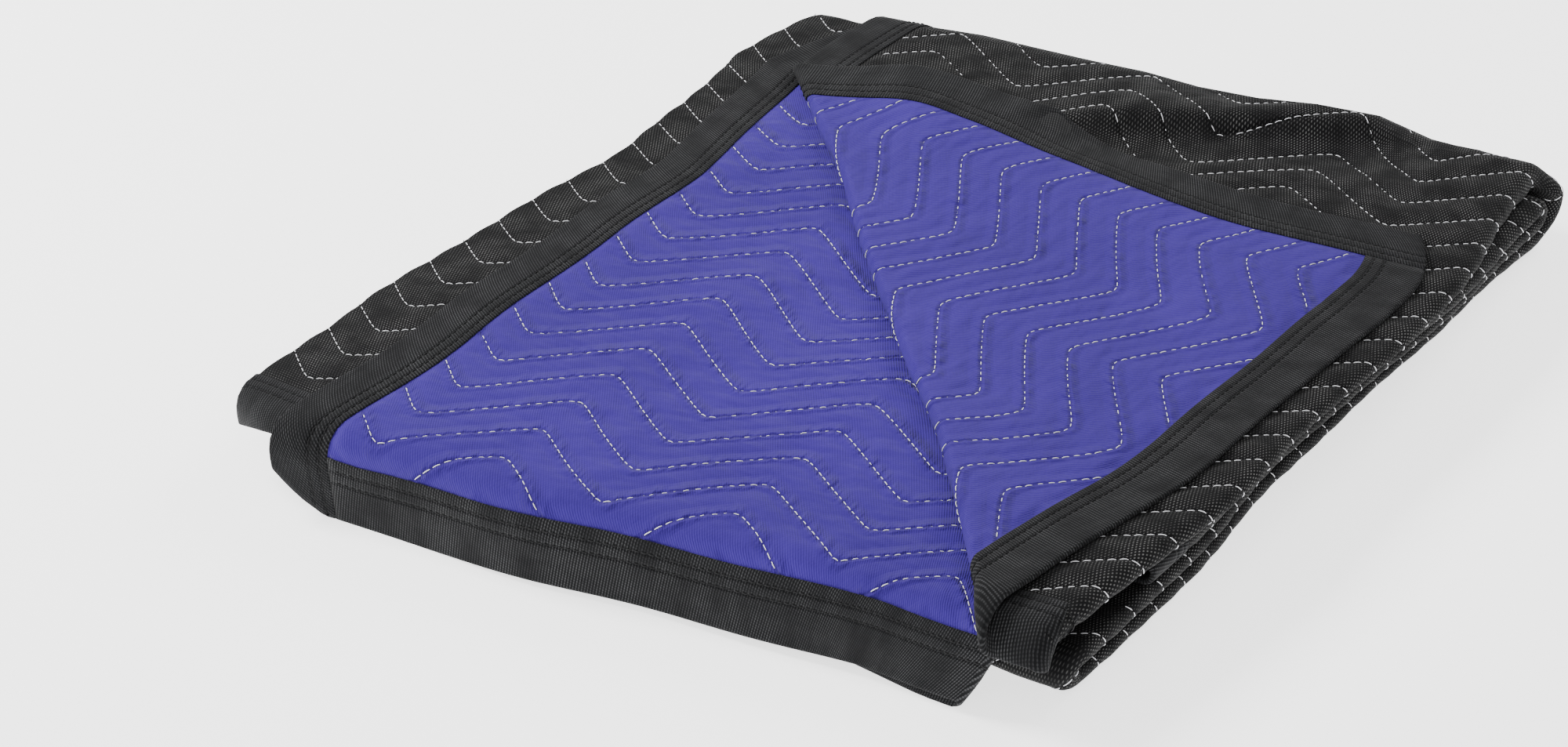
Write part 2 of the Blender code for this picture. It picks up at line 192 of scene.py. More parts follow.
@dataclass(frozen=True)
class FoldPlan:
    """Where the folds lie in plan and how far apart the plies are."""

    ply: float = 0.0031
    quarter: float = 0.0128
    top_edge_x: float = 0.052
    page_edge_x: float = 0.050
    left_fold_x: float = 0.013
    right_fold_x: float = 0.477
    inner_fold_x: float = 0.470
    back_turn_y: float = 0.480
    inner_turn_y: float = 0.473
    front_turn_y: float = 0.022
    last_edge_y: float = 0.040
    crease_back: tuple[float, float] = (0.052, 0.411)
    crease_front: tuple[float, float] = (0.463, -0.016)
    crease_radius: float = 0.0036
    crease_loft: tuple[tuple[float, float], ...] = ((0.0, 0.0072), (0.022, 0.0048), (0.060, 0.0033))
    turned_bow: tuple[float, float] = (0.015, 0.011)
    turned_loft: float = 0.007
    turned_loft_at: tuple[float, float] = (0.20, 0.15)
    turned_loft_in: float = 0.05
    turned_least: float = 0.02
    turned_most: float = 1.1
    turned_back: tuple[tuple[float, float], tuple[float, float]] = ((0.052, 0.411), (0.470, 0.396))
    left_side: tuple[tuple[float, float, float], ...] = (
        (0.000, 0.000, 0.001),
        (0.050, -0.004, 0.001),
        (0.120, -0.005, 0.004),
        (0.220, 0.002, 0.002),
        (0.300, 0.005, -0.003),
        (0.360, 0.001, -0.012),
        (0.420, -0.008, -0.022),
        (0.480, 0.000, 0.000),
    )
    front_shift: tuple[float, ...] = (-0.016, -0.016, -0.020, -0.034, -0.034, -0.050, -0.044)
    page_front: tuple[tuple[float, float], ...] = (
        (0.40, -0.045), (0.30, -0.053), (0.20, -0.063), (0.10, -0.069), (0.05, -0.068),
    )
    corner_round: tuple[float, float] = (0.020, 0.018)
    corner_reach: tuple[float, float] = (0.060, 0.034)
    stray_until: float = 0.26
    stray_fade: float = 0.17
    drape: tuple[tuple[float, float, float], ...] = (
        (0.00, 0.002, 92.0), (0.03, -0.012, 92.0), (0.05, -0.020, 92.0), (0.08, -0.012, 92.0),
        (0.20, -0.010, 90.0), (0.30, 0.000, 84.0), (0.40, 0.006, 82.0), (0.48, 0.008, 82.0),
    )
    drape_bend: float = 0.028
    drape_length: float = 0.080
    right_tuck: float = 0.023
    outer_tuck: float = 0.12
    tuck_from: float = 0.062
    tuck_reach: float = 0.10
    tuck_side: tuple[float, float] = (0.34, 0.46)
    skew_until: tuple[float, float] = (0.02, 0.36)
    lower_skew: float = 0.042
    lower_tuck: float = 0.016
    last_back: float = 0.036
    rests_at: float = 0.00065
    shift: tuple[float, float, float] = (-0.24456, -0.237765, -0.00065)


@dataclass(frozen=True)
class Wave:
    """A wave over the stack: its height, its turn in radians for each metre of x, y and z, and its start."""

    height: float
    x: float
    y: float
    z: float = 0.0
    start: float = 0.0

    def at(self, x: Array, y: Array, z: Array) -> Array:
        """The wave's value at places of the stack."""
        return self.height * np.sin(self.x * x + self.y * y + self.z * z + self.start)


@dataclass(frozen=True)
class Ridge:
    """The soft ridge behind the turned corner, with a shallow dip in front of it."""

    start: tuple[float, float] = (0.225, 0.418)
    end: tuple[float, float] = (0.400, 0.494)
    comes: tuple[float, float] = (-0.05, 0.04)
    goes: tuple[float, float] = (0.15, 0.23)
    height: float = 0.0095
    behind: float = 0.034
    before: float = 0.006
    dip: float = 0.0050
    dip_at: float = 0.026
    dip_reach: float = 0.020

    def at(self, x: Array, y: Array) -> Array:
        """Height of the ridge.

        Args:
            x: Places in plan.
            y: Places in plan.

        Returns:
            The height, below 0 in the dip.
        """
        start, end = np.array(self.start), np.array(self.end)
        run = (end - start) / np.linalg.norm(end - start)
        along = (x - start[0]) * run[0] + (y - start[1]) * run[1]
        off = (y - start[1]) * run[0] - (x - start[0]) * run[1]
        window = ramp(along, self.comes) * (1 - ramp(along, self.goes))
        reach = np.where(off > 0, self.behind, self.before)
        return window * (self.height * np.exp(-(off / reach) ** 2)
                         - self.dip * np.exp(-((off + self.dip_at) / self.dip_reach) ** 2))


@dataclass(frozen=True)
class Settling:
    """How unevenly the folded stack has settled."""

    right_side: tuple[float, float] = (0.36, 0.46)
    right_stray: tuple[Wave, ...] = (Wave(0.0030, 0, 13, 60, 0.5), Wave(0.0014, 0, 27, -40))
    swells: tuple[tuple[Wave, Wave], ...] = (
        (Wave(0.034, 7, 4, 0, 0.6), Wave(1.0, -3, 8, 0, 1.1)),
        (Wave(0.016, 41, 23), Wave(1.0, -18, 35, 0, 2.0)),
    )
    swell_over: tuple[float, float] = (0.002, 0.012)
    ridge: Ridge = Ridge()
    ridge_over: tuple[float, float] = (0.030, 0.050)
    tuck_side: tuple[float, float] = (0.28, 0.46)
    tuck_under: float = 0.045
    top_edge: tuple[tuple[float, float], ...] = (
        (0.00, -0.002), (0.07, 0.003), (0.15, 0.006), (0.30, 0.007),
        (0.36, 0.000), (0.43, -0.009), (0.48, -0.012),
    )
    top_over: tuple[float, float] = (0.030, 0.045)
    warp_x: tuple[Wave, ...] = (Wave(0.0015, 9, 24, 0, 0.4), Wave(0.0008, -12, 53))
    warp_y: tuple[Wave, ...] = (Wave(0.0016, 21, -6, 0, 1.3), Wave(0.0009, 49, 15, 0, 2.0))


@dataclass(frozen=True)
class Quilting:
    """Zigzag seams that run across the width of the cloth."""

    pitch: float = 0.0252
    period: float = 0.127
    height: float = 0.044
    phase: float = 0.059
    start: float = 0.010
    round: float = 0.070
    slip: float = 0.078
    page_slip: float = 0.040
    slip_in: tuple[float, float] = (0.51, 0.85)
    slip_out: tuple[float, float] = (1.01, 1.28)

    def slipped(self, u: Array) -> Array:
        """Places across the width with the zigzag's slip under the top plies added.

        Args:
            u: Places across the width.

        Returns:
            The places that the zigzag is worked out from.
        """
        (rise, full), (fall, gone) = self.slip_in, self.slip_out
        after = ease((u - fall) / (gone - fall))
        return u + ease((u - rise) / (full - rise)) * (self.slip + (self.page_slip - self.slip) * after)

    def zigzag(self, u: Array) -> Array:
        """Height of a seam across its run.

        Args:
            u: Places across the width.

        Returns:
            The seam's offset along v at each place, with rounded corners.
        """
        share = np.mod((self.slipped(u) - self.phase) / self.period, 1.0)
        rise = np.abs(share - 0.5) * 2
        low = np.sqrt(rise ** 2 + self.round ** 2) - rise
        high = np.sqrt((1 - rise) ** 2 + self.round ** 2) - (1 - rise)
        return self.height * (rise + low - high - 0.5)

    def row_of(self, u: Array, v: Array) -> Array:
        """Which seam a place lies on.

        Args:
            u: Places across the width.
            v: Places along the length.

        Returns:
            The row, a whole number on a seam.
        """
        return (v - self.zigzag(u) - self.start) / self.pitch


@dataclass
class Lay:
    """The folded lay of the cloth: carries points of the flat cloth to the stack."""

    plan: FoldPlan = field(default_factory=FoldPlan)
    sizes: ClothSizes = field(default_factory=ClothSizes)
    quilting: Quilting = field(default_factory=Quilting)
    settling: Settling = field(default_factory=Settling)
    path_count: int = 48
    path_steps: int = 96

    def __post_init__(self) -> None:
        plan = self.plan
        big, small = 1.5 * plan.ply, 0.5 * plan.ply
        self.u_marks = running((
            plan.right_fold_x - plan.top_edge_x,
            math.pi * big,
            plan.right_fold_x - plan.left_fold_x,
            math.pi * small,
            plan.inner_fold_x - plan.left_fold_x,
            math.pi * small,
            plan.inner_fold_x - plan.page_edge_x,
        ))
        turn = plan.quarter / 2
        self.v_marks = running((
            plan.back_turn_y,
            3 * math.pi * turn,
            plan.back_turn_y - plan.front_turn_y,
            math.pi * turn,
            plan.inner_turn_y - plan.front_turn_y,
            math.pi * turn,
            plan.inner_turn_y - plan.last_edge_y,
        ))
        self.width = float(self.u_marks[-1])
        self.length = float(self.v_marks[-1])
        back, front = np.array(plan.crease_back), np.array(plan.crease_front)
        self.crease_dir = (front - back) / np.linalg.norm(front - back)
        self.crease_out = np.array((self.crease_dir[1], -self.crease_dir[0]))
        self.crease_bend = math.pi * plan.crease_radius
        self.paths = self.hanging_paths()

    def hanging_paths(self) -> tuple[Array, Array]:
        """Work out the hanging front at places across the width.

        Returns:
            Where it starts to hang at each place, and its points as (y, drop, slope).
        """
        plan = self.plan
        starts, paths = [], []
        step = plan.drape_length / self.path_steps
        reach = (np.arange(self.path_steps) + 0.5) * step
        for x in np.linspace(0.0, plan.right_fold_x, self.path_count + 1):
            begin = float(read(plan.drape, x))
            slopes = math.radians(float(read(plan.drape, x, 2))) * ease(reach / plan.drape_bend)
            y = begin - running(step * np.cos(slopes))
            drop = running(step * np.sin(slopes))
            slope = np.concatenate([[0.0], (slopes[:-1] + slopes[1:]) / 2, [slopes[-1]]])
            starts.append(begin)
            paths.append(np.stack([y, drop, slope], axis=1))
        return np.array(starts), np.array(paths)

    def hanging(self, x: Array, reach: Array) -> tuple[Array, Array, Array]:
        """Follow the hanging front.

        Args:
            x: Places across the width in plan.
            reach: Places along the cloth, as y if it lay flat.

        Returns:
            y, drop and slope of the cloth there.
        """
        starts, paths = self.paths
        across = np.clip(x / self.plan.right_fold_x, 0.0, 1.0) * self.path_count
        low = np.minimum(across.astype(int), self.path_count - 1)
        share = across - low
        values = []
        for column in (low, low + 1):
            spot = np.clip((starts[column] - reach) / self.plan.drape_length * self.path_steps,
                           0.0, self.path_steps)
            row = np.minimum(spot.astype(int), self.path_steps - 1)
            part = (spot - row)[:, None]
            point = paths[column, row] * (1 - part) + paths[column, row + 1] * part
            flat = spot <= 0
            point[flat] = 0.0
            point[flat, 0] = reach[flat]
            values.append(point)
        point = values[0] * (1 - share)[:, None] + values[1] * share[:, None]
        return point[:, 0], point[:, 1], point[:, 2]

    @staticmethod
    def section(marks: Array, value: Array, ends: tuple[float, float, float], pitch: float,
                ) -> tuple[Array, Array, Array, Array]:
        """Fold a length in quarters, seen in section.

        Args:
            marks: Starts of the spans and folds.
            value: Places along the length.
            ends: Where the far, near and inner folds lie.
            pitch: Distance between the folded layers.

        Returns:
            Place along and height of each point, and the direction of the face that starts on top.
        """
        far, near, inner = ends
        spot = np.clip(np.searchsorted(marks, value, side="right") - 1, 0, 6)
        into = value - marks[spot]
        along = np.select([spot == 0, spot == 2, spot == 4, spot == 6],
                          [far - marks[1] + value, far - into, near + into, inner - into], 0.0)
        high = np.select([spot == 0, spot == 2, spot == 4, spot == 6],
                         [3.5 * pitch, 0.5 * pitch, 1.5 * pitch, 2.5 * pitch], 0.0)
        face_along = np.zeros_like(value)
        face_high = np.where((spot == 2) | (spot == 6), -1.0, 1.0)
        for fold, centre, level, radius, start, sense in (
                (1, far, 2.0, 1.5, 0.5, -1), (3, near, 1.0, 0.5, -0.5, -1), (5, inner, 2.0, 0.5, -0.5, 1)):
            here = spot == fold
            angle = math.pi * start + sense * into[here] / (radius * pitch)
            cos, sin = np.cos(angle), np.sin(angle)
            along[here] = centre + radius * pitch * cos
            high[here] = level * pitch + radius * pitch * sin
            face_along[here] = -sense * cos
            face_high[here] = -sense * sin
        return along, high, face_along, face_high

    def front_shift(self, u: Array) -> Array:
        """Shift in y of the top quarter's front edge.

        Args:
            u: Places across the width.

        Returns:
            The shift at each place.
        """
        plan = self.plan
        page = np.array(plan.page_front)
        places = np.concatenate([self.u_marks[:7], self.u_marks[6] + plan.inner_fold_x - page[:, 0]])
        ends = zip(plan.corner_round, plan.corner_reach, (u, self.width - u))
        rounded = sum(depth * np.clip(1 - off / reach, 0.0, 1.0) ** 2 for depth, reach, off in ends)
        return np.interp(u, places, np.concatenate([plan.front_shift, page[:, 1]])) + rounded

    def drawn(self, u: Array, v: Array) -> Array:
        """Place in y on the top quarter, with the front edge's shift shared out along the cloth.

        Args:
            u: Places across the width.
            v: Places along the length.

        Returns:
            The place in y.
        """
        return v + self.front_shift(u) * (1 - v / self.v_marks[1])

    def page_past_crease(self, u: Array, v: Array) -> Array:
        """Distance of places of the open page past the line of the crease that lies over it.

        Args:
            u: Places across the width.
            v: Places along the length.

        Returns:
            The distance in plan, negative under the turned corner.
        """
        x = self.plan.inner_fold_x - (u - self.u_marks[6]) - self.plan.crease_back[0]
        y = self.drawn(u, v) - self.plan.crease_back[1]
        return x * self.crease_out[0] + y * self.crease_out[1]

    def past_crease(self, u: Array, v: Array) -> Array:
        """Distance past the crease, on the top ply before its corner is turned.

        Args:
            u: Places across the width.
            v: Places along the length.

        Returns:
            The distance in plan, negative behind the crease.
        """
        x = self.plan.top_edge_x + u - self.plan.crease_back[0]
        y = self.drawn(u, v) - self.plan.crease_back[1]
        return x * self.crease_out[0] + y * self.crease_out[1]

    def on_top_ply(self, u: Array, v: Array) -> Array:
        """Tell which points lie on the top ply.

        Args:
            u: Places across the width.
            v: Places along the length.

        Returns:
            True for each point on it.
        """
        return (u < self.u_marks[1]) & (v < self.v_marks[1])

    def bow(self, x: Array, y: Array) -> Array:
        """How far the turned corner is pushed back.

        Args:
            x: Places in plan.
            y: Places in plan.

        Returns:
            The push along y: nothing at the crease, and all of it at the corner's back edge.
        """
        plan = self.plan
        (start_x, start_y), (end_x, end_y) = plan.turned_back
        along = np.clip((x - start_x) / (end_x - start_x), 0.0, 1.0)
        crease = plan.crease_back[1] + (x - plan.crease_back[0]) * self.crease_dir[1] / self.crease_dir[0]
        depth = start_y + (end_y - start_y) * along - crease
        wave, arch = plan.turned_bow
        share = np.clip((y - crease) / np.maximum(depth, plan.turned_least), 0, plan.turned_most)
        return (wave * np.sin(2 * math.pi * along) + arch * 4 * along * (1 - along)) * share

    def turn_corner(self, x: Array, y: Array, w: Array) -> tuple[Array, Array, Array]:
        """Turn the top ply's corner back over its crease.

        Args:
            x: Places in plan before the turn.
            y: Places in plan before the turn.
            w: Heights in the cloth.

        Returns:
            Places in plan and heights over the ply below.
        """
        plan = self.plan
        from_back = np.stack([x, y], axis=1) - np.array(plan.crease_back)
        past = from_back @ self.crease_out
        foot = np.array(plan.crease_back) + (from_back @ self.crease_dir)[:, None] * self.crease_dir
        radius, bend = plan.crease_radius, self.crease_bend
        angle = np.clip(past, 0.0, bend) / radius
        bent = foot + self.crease_out * ((radius - w) * np.sin(angle))[:, None]
        over = foot - self.crease_out * (past - bend)[:, None]
        over_y = over[:, 1] + self.bow(over[:, 0], over[:, 1])
        (start_x, _), (end_x, _) = plan.turned_back
        middle, reach = plan.turned_loft_at
        raised = np.exp(-(((over[:, 0] - start_x) / (end_x - start_x) - middle) / reach) ** 2)
        raised *= ease((past - bend) / plan.turned_loft_in)
        lofted = read(plan.crease_loft, past - bend) + plan.turned_loft * raised - w
        turning, turned = (past > 0) & (past < bend), past >= bend
        new_x = np.where(turned, over[:, 0], np.where(turning, bent[:, 0], x))
        new_y = np.where(turned, over_y, np.where(turning, bent[:, 1], y))
        rise = np.where(turned, lofted, np.where(turning, radius - (radius - w) * np.cos(angle), w))
        return new_x, new_y, rise

    def place(self, u: Array, v: Array, w: Array) -> Array:
        """Carry points of the flat cloth to the stack.

        Args:
            u: Places across the width.
            v: Places along the length.
            w: Heights in the cloth, the black face at +w.

        Returns:
            The points, one row each.
        """
        plan = self.plan
        u, v, w = (np.asarray(value, dtype=float).ravel() for value in np.broadcast_arrays(u, v, w))
        x, high, face_x, face_high = self.section(
            self.u_marks, u, (plan.right_fold_x, plan.left_fold_x, plan.inner_fold_x), plan.ply)
        x, high = x + face_x * w, high + face_high * w
        upper = self.place_top_quarter(u, v, w, x, high)
        lower = self.place_lower_quarters(v, x, high)
        points = np.where((v < self.v_marks[1])[:, None], upper, lower)
        return self.settle(points) + np.array(plan.shift)

    def place_top_quarter(self, u: Array, v: Array, w: Array, x: Array, high: Array) -> Array:
        """Lay the top quarter: corner turned back, front hanging.

        Args:
            u: Places across the width.
            v: Places along the length.
            w: Heights in the cloth.
            x: Places in plan after the folds across the width.
            high: Heights in the quarter.

        Returns:
            The points before they settle.
        """
        plan = self.plan
        y = self.drawn(u, v)
        stray = np.where(u < self.u_marks[5], read(plan.left_side, v), read(plan.left_side, v, 2))
        strayed = x + stray * np.clip((plan.stray_until - x) / plan.stray_fade, 0.0, 1.0)
        turned_x, turned_y, rise = self.turn_corner(x, y, w)
        top = u <= self.u_marks[1]
        x, y = np.where(top, turned_x, strayed), np.where(top, turned_y, y)
        high = np.where(top, 3.5 * plan.ply + rise, high)
        ahead, drop, slope = self.hanging(x, y)
        lift = high - 2 * plan.ply
        tuck = plan.right_tuck * np.where(u > self.u_marks[3], 1.0, plan.outer_tuck)
        x = x - tuck * ramp(x, plan.tuck_side) * np.maximum((plan.tuck_from - y) / plan.tuck_reach, 0.0)
        return np.stack([x, ahead - np.sin(slope) * lift,
                         3.5 * plan.quarter - drop + np.cos(slope) * lift], axis=1)

    def place_lower_quarters(self, v: Array, x: Array, high: Array) -> Array:
        """Lay the three quarters under the top one.

        Args:
            v: Places along the length.
            x: Places in plan after the folds across the width.
            high: Heights in the quarter.

        Returns:
            The points before they settle.
        """
        plan = self.plan
        y, z, face_y, face_z = self.section(
            self.v_marks, v, (plan.back_turn_y, plan.front_turn_y, plan.inner_turn_y), plan.quarter)
        y = y + face_y * (high - 2 * plan.ply)
        z = z + face_z * (high - 2 * plan.ply)
        front = 1 - ramp(y, plan.skew_until)
        skew = plan.lower_skew * (1 - x / plan.right_fold_x)
        return np.stack([x, y + front * np.where(v > self.v_marks[6], plan.last_back, skew), z], axis=1)

    def settle(self, points: Array) -> Array:
        """Give the stack its uneven lie.

        Args:
            points: Points of the neatly folded stack.

        Returns:
            The points after the cloth has settled.
        """
        settling = self.settling
        x, y, z = points.T
        right = ramp(x, settling.right_side)
        stray, warp_x, warp_y = (sum(wave.at(x, y, z) for wave in waves)
                                 for waves in (settling.right_stray, settling.warp_x, settling.warp_y))
        swell = sum(first.at(x, y, z) * second.at(x, y, z) for first, second in settling.swells)
        high = z * (1 + swell * ramp(z, settling.swell_over))
        high = high + settling.ridge.at(x, y) * ramp(z, settling.ridge_over)
        low = 1 - np.clip(z / settling.tuck_under, 0.0, 1.0)
        tuck = self.plan.lower_tuck * ramp(x, settling.tuck_side) * low
        tuck -= read(settling.top_edge, y) * right * ramp(z, settling.top_over)
        return np.stack([x + stray * right - tuck + warp_x, y + warp_y,
                         np.maximum(high, self.plan.rests_at)], axis=1)

    def half_thickness(self, u: Array, v: Array, side: Array) -> Array:
        """Half thickness of the quilted cloth.

        Args:
            u: Places across the width.
            v: Places along the length.
            side: Sign of w.

        Returns:
            The half thickness on that face: drawn in at the seams, full between them.
        """
        sizes = self.sizes
        edge = np.minimum(np.minimum(u, self.width - u), np.minimum(v, self.length - v))
        row = self.quilting.row_of(u, v)
        crown = np.abs(np.sin(math.pi * (row - np.round(row)))) ** sizes.crown_power
        uneven = 1 + sizes.uneven * (np.sin(190 * u + 60 * v + 2 * np.sin(35 * v))
                                     * np.sin(150 * v - 70 * u + 1.5 * np.sin(40 * u)))
        full = sizes.seam + (self.crown_height(u, v, side) - sizes.seam) * crown * uneven
        return sizes.bound + (full - sizes.bound) * ease((edge - sizes.rim) / sizes.fills_over)

    def crown_height(self, u: Array, v: Array, side: Array) -> Array:
        """How far the quilting stands up between its seams.

        Args:
            u: Places across the width.
            v: Places along the length.
            side: Sign of w.

        Returns:
            The height, larger on faces that no other ply lies on.
        """
        past = self.past_crease(u, v)
        top = self.on_top_ply(u, v)
        open_face = (top & (side < 0) & (past > 0.8 * self.crease_bend)) | (top & (side > 0) & (past < 0))
        page = (u > self.u_marks[6]) & (v < self.v_marks[1]) & (side < 0)
        open_page = page & (self.page_past_crease(u, v) > 0.004)
        return np.where(open_face | open_page, self.sizes.proud, self.sizes.crown)

    def surface(self, u: Array, v: Array, face: Face, above: float) -> Array:
        """Points on or over one face of the cloth.

        Args:
            u: Places across the width.
            v: Places along the length.
            face: Which face.
            above: Height over it.

        Returns:
            The points, one row each.
        """
        side = np.full_like(u, face.value)
        return self.place(u, v, face.value * (self.half_thickness(u, v, side) + above))


class Tree:
    """A node tree and the one way that nodes are added to it."""

    def __init__(self, tree: bpy.types.NodeTree) -> None:
        self.tree = tree

    def node(self, kind: str, settings: dict[str, object] | None = None,
             sockets: dict[str | int, object] | None = None) -> bpy.types.Node:
        """Add a node.

        Args:
            kind: Blender's name of the node's type.
            settings: The node's own settings, set before its sockets.
            sockets: Values or links of its inputs, by their names or numbers.

        Returns:
            The node.
        """
        node = self.tree.nodes.new(kind)
        for name, value in (settings or {}).items():
            setattr(node, name, value)
        for name, value in (sockets or {}).items():
            self.feed(node.inputs[name], value)
        return node

    def feed(self, target: bpy.types.NodeSocket, value: object) -> None:
        """Set or link one input.

        Args:
            target: The input.
            value: A Socket or a plain output to link, or a value.
        """
        if isinstance(value, Socket):
            value = value.socket
        if isinstance(value, bpy.types.NodeSocket):
            self.tree.links.new(value, target)
        else:
            target.default_value = value


class Socket:
    """A shader socket that takes part in sums."""

    def __init__(self, tree: Tree, socket: bpy.types.NodeSocket) -> None:
        self.tree = tree
        self.socket = socket

    def maths(self, operation: str, *others: Socket | float, first: Socket | float | None = None) -> Socket:
        """Add a Math node on this socket.

        Args:
            operation: Blender's name of the operation.
            others: The inputs after this socket.
            first: An input that goes before this socket.

        Returns:
            The node's output.
        """
        values = (self, *others) if first is None else (first, self)
        node = self.tree.node("ShaderNodeMath", {"operation": operation}, dict(enumerate(values)))
        return Socket(self.tree, node.outputs[0])

    def __add__(self, other: Socket | float) -> Socket:
        """The sum."""
        return self.maths("ADD", other)

    def __sub__(self, other: Socket | float) -> Socket:
        """The difference."""
        return self.maths("SUBTRACT", other)

    def __mul__(self, other: Socket | float) -> Socket:
        """The product."""
        return self.maths("MULTIPLY", other)

    def __truediv__(self, other: Socket | float) -> Socket:
        """The quotient."""
        return self.maths("DIVIDE", other)

    def __radd__(self, other: float) -> Socket:
        """The sum, with the number first."""
        return self.maths("ADD", first=other)

    def __rsub__(self, other: float) -> Socket:
        """The difference, with the number first."""
        return self.maths("SUBTRACT", first=other)

    def __rmul__(self, other: float) -> Socket:
        """The product, with the number first."""
        return self.maths("MULTIPLY", first=other)

    def __rtruediv__(self, other: float) -> Socket:
        """The quotient, with the number first."""
        return self.maths("DIVIDE", first=other)

    def wave(self, pitch: float) -> Socket:
        """A wave from 0 to 1 along this socket's value.

        Args:
            pitch: Length of one wave.

        Returns:
            The wave.
        """
        return (self * (2 * math.pi / pitch)).maths("SINE") * 0.5 + 0.5

    def within(self, low: float, high: float) -> Socket:
        """A smooth step on this socket's value.

        Args:
            low: Where it leaves 0.
            high: Where it reaches 1.

        Returns:
            The step.
        """
        node = self.tree.node("ShaderNodeMapRange", {"interpolation_type": "SMOOTHSTEP"},
                              {"Value": self, "From Min": low, "From Max": high})
        return Socket(self.tree, node.outputs["Result"])


@dataclass(frozen=True)
class Finish:
    """A matte textile finish.

    Attributes:
        name: The material's name.
        colour: Base colour, linear.
        light: Colour of its lit yarns, linear: mixed in as painted highlight by the rib and mesh patterns,
            and as a lighter tone at random by noise.
        roughness: Roughness of the surface.
        sheen: Weight of the soft sheen on loose fibres.
        gloss: Specular level.
    """

    name: str
    colour: tuple[float, float, float]
    light: tuple[float, float, float]
    roughness: float
    sheen: float
    gloss: float


BUMP_DEPTH = 0.0010
BLUE_RIB, BLUE_CROSS = 0.0011, 0.0016
MESH_PITCH = 0.0015
TAPE_RIB, TAPE_CROSS = 0.0015, 0.0013
TAPE_ROWS = (0.0205, 0.0262)
ROW_REACH = 0.0016

# Each finish's second colour is its lit colour: the painted highlight on the black mesh's specks and on the
# rib crests of the tape and the blue face.
BLUE_FACE = Finish("cloth_blue_face", (0.030, 0.0140, 0.165), (0.051, 0.0245, 0.262), 0.90, 0.06, 0.08)
BLACK_FACE = Finish("cloth_black_face", (0.0050, 0.0050, 0.0055), (0.170, 0.170, 0.166), 0.85, 0.02, 0.08)
TAPE_FINISH = Finish("binding_tape_ribbed", (0.0060, 0.0061, 0.0068), (0.068, 0.069, 0.072), 0.85, 0.03, 0.08)
WHITE_THREAD = Finish("thread_white", (0.66, 0.66, 0.70), (0.80, 0.80, 0.82), 0.60, 0.10, 0.25)
BLACK_THREAD = Finish("thread_black", (0.006, 0.006, 0.0065), (0.018, 0.018, 0.019), 0.60, 0.0, 0.15)
FLOOR_FINISH = Finish("studio_floor", (0.90, 0.90, 0.90), (0.90, 0.90, 0.90), 0.90, 0.0, 0.20)


@dataclass
class Paint:
    """Builds the node material of a finish."""

    finish: Finish
    quilting: Quilting = field(default_factory=Quilting)

    def __post_init__(self) -> None:
        self.material = bpy.data.materials.new(self.finish.name)
        self.material.use_nodes = True
        self.tree = Tree(self.material.node_tree)
        self.shader = self.material.node_tree.nodes["Principled BSDF"]
        self.set_shader({"Base Color": (*self.finish.colour, 1.0), "Roughness": self.finish.roughness,
                         "Sheen Weight": self.finish.sheen, "Sheen Roughness": 0.5,
                         "Specular IOR Level": self.finish.gloss})
        self.flat = self.tree.node("ShaderNodeUVMap", {"uv_map": "flat"}).outputs["UV"]
        split = self.tree.node("ShaderNodeSeparateXYZ", sockets={0: self.flat})
        self.across = Socket(self.tree, split.outputs["X"])
        self.along = Socket(self.tree, split.outputs["Y"])

    def set_shader(self, sockets: dict[str, object]) -> None:
        """Feed the shader.

        Args:
            sockets: Values or links of its inputs, by name.
        """
        for name, value in sockets.items():
            self.tree.feed(self.shader.inputs[name], value)

    def noise(self, scale: tuple[float, float], detail: float = 2.0) -> Socket:
        """Noise over the flat cloth.

        Args:
            scale: Waves per metre across and along the cloth.
            detail: Octaves.

        Returns:
            The noise, about 0 to 1.
        """
        stretch = self.tree.node("ShaderNodeMapping", sockets={"Vector": self.flat, "Scale": (*scale, 1.0)})
        node = self.tree.node("ShaderNodeTexNoise", sockets={
            "Vector": stretch.outputs["Vector"], "Scale": 1.0, "Detail": detail})
        return Socket(self.tree, node.outputs["Fac"])

    def seam_distance(self) -> Socket:
        """Distance to the nearest quilting seam.

        Returns:
            The distance along v, as a share of the seams' pitch: 0 on a seam, 0.5 between two.
        """
        quilting = self.quilting
        change = self.across.within(*quilting.slip_out) * (quilting.page_slip - quilting.slip) + quilting.slip
        slipped = self.across + self.across.within(*quilting.slip_in) * change
        share = ((slipped - quilting.phase) / quilting.period).maths("FLOORED_MODULO", 1.0)
        rise = (share - 0.5).maths("ABSOLUTE") * 2.0
        soft = quilting.round ** 2
        low = (rise * rise + soft).maths("SQRT") - rise
        down = 1.0 - rise
        high = (down * down + soft).maths("SQRT") - down
        zigzag = (rise + low - high - 0.5) * quilting.height
        row = (self.along - zigzag - quilting.start) / quilting.pitch
        return (row - row.maths("ROUND")).maths("ABSOLUTE")

    def colour(self, share: Socket, shade: Socket | None = None) -> None:
        """Mix the finish's two colours, and darken them with painted shade.

        Args:
            share: Share of the lit colour.
            shade: Painted shade, as a factor on the result, 1 where nothing darkens it.
        """
        result = self.mixed((*self.finish.colour, 1.0), (*self.finish.light, 1.0), share)
        if shade is not None:
            result = self.mixed((0.0, 0.0, 0.0, 1.0), result, shade)
        self.set_shader({"Base Color": result})

    def mixed(self, low: object, high: object, share: Socket) -> bpy.types.NodeSocket:
        """Mix two colours.

        Args:
            low: The colour at a share of 0.
            high: The colour at a share of 1.
            share: The share.

        Returns:
            The mixed colour.
        """
        sockets = {"Factor": share, "A": low, "B": high}
        return self.tree.node("ShaderNodeMix", {"data_type": "RGBA"}, sockets).outputs["Result"]

    def bump(self, height: Socket) -> None:
        """Raise the surface's normal by a height.

        Args:
            height: Height, in units of the bump's depth.
        """
        sockets = {"Strength": 1.0, "Distance": BUMP_DEPTH, "Height": height}
        self.set_shader({"Normal": self.tree.node("ShaderNodeBump", sockets=sockets).outputs["Normal"]})


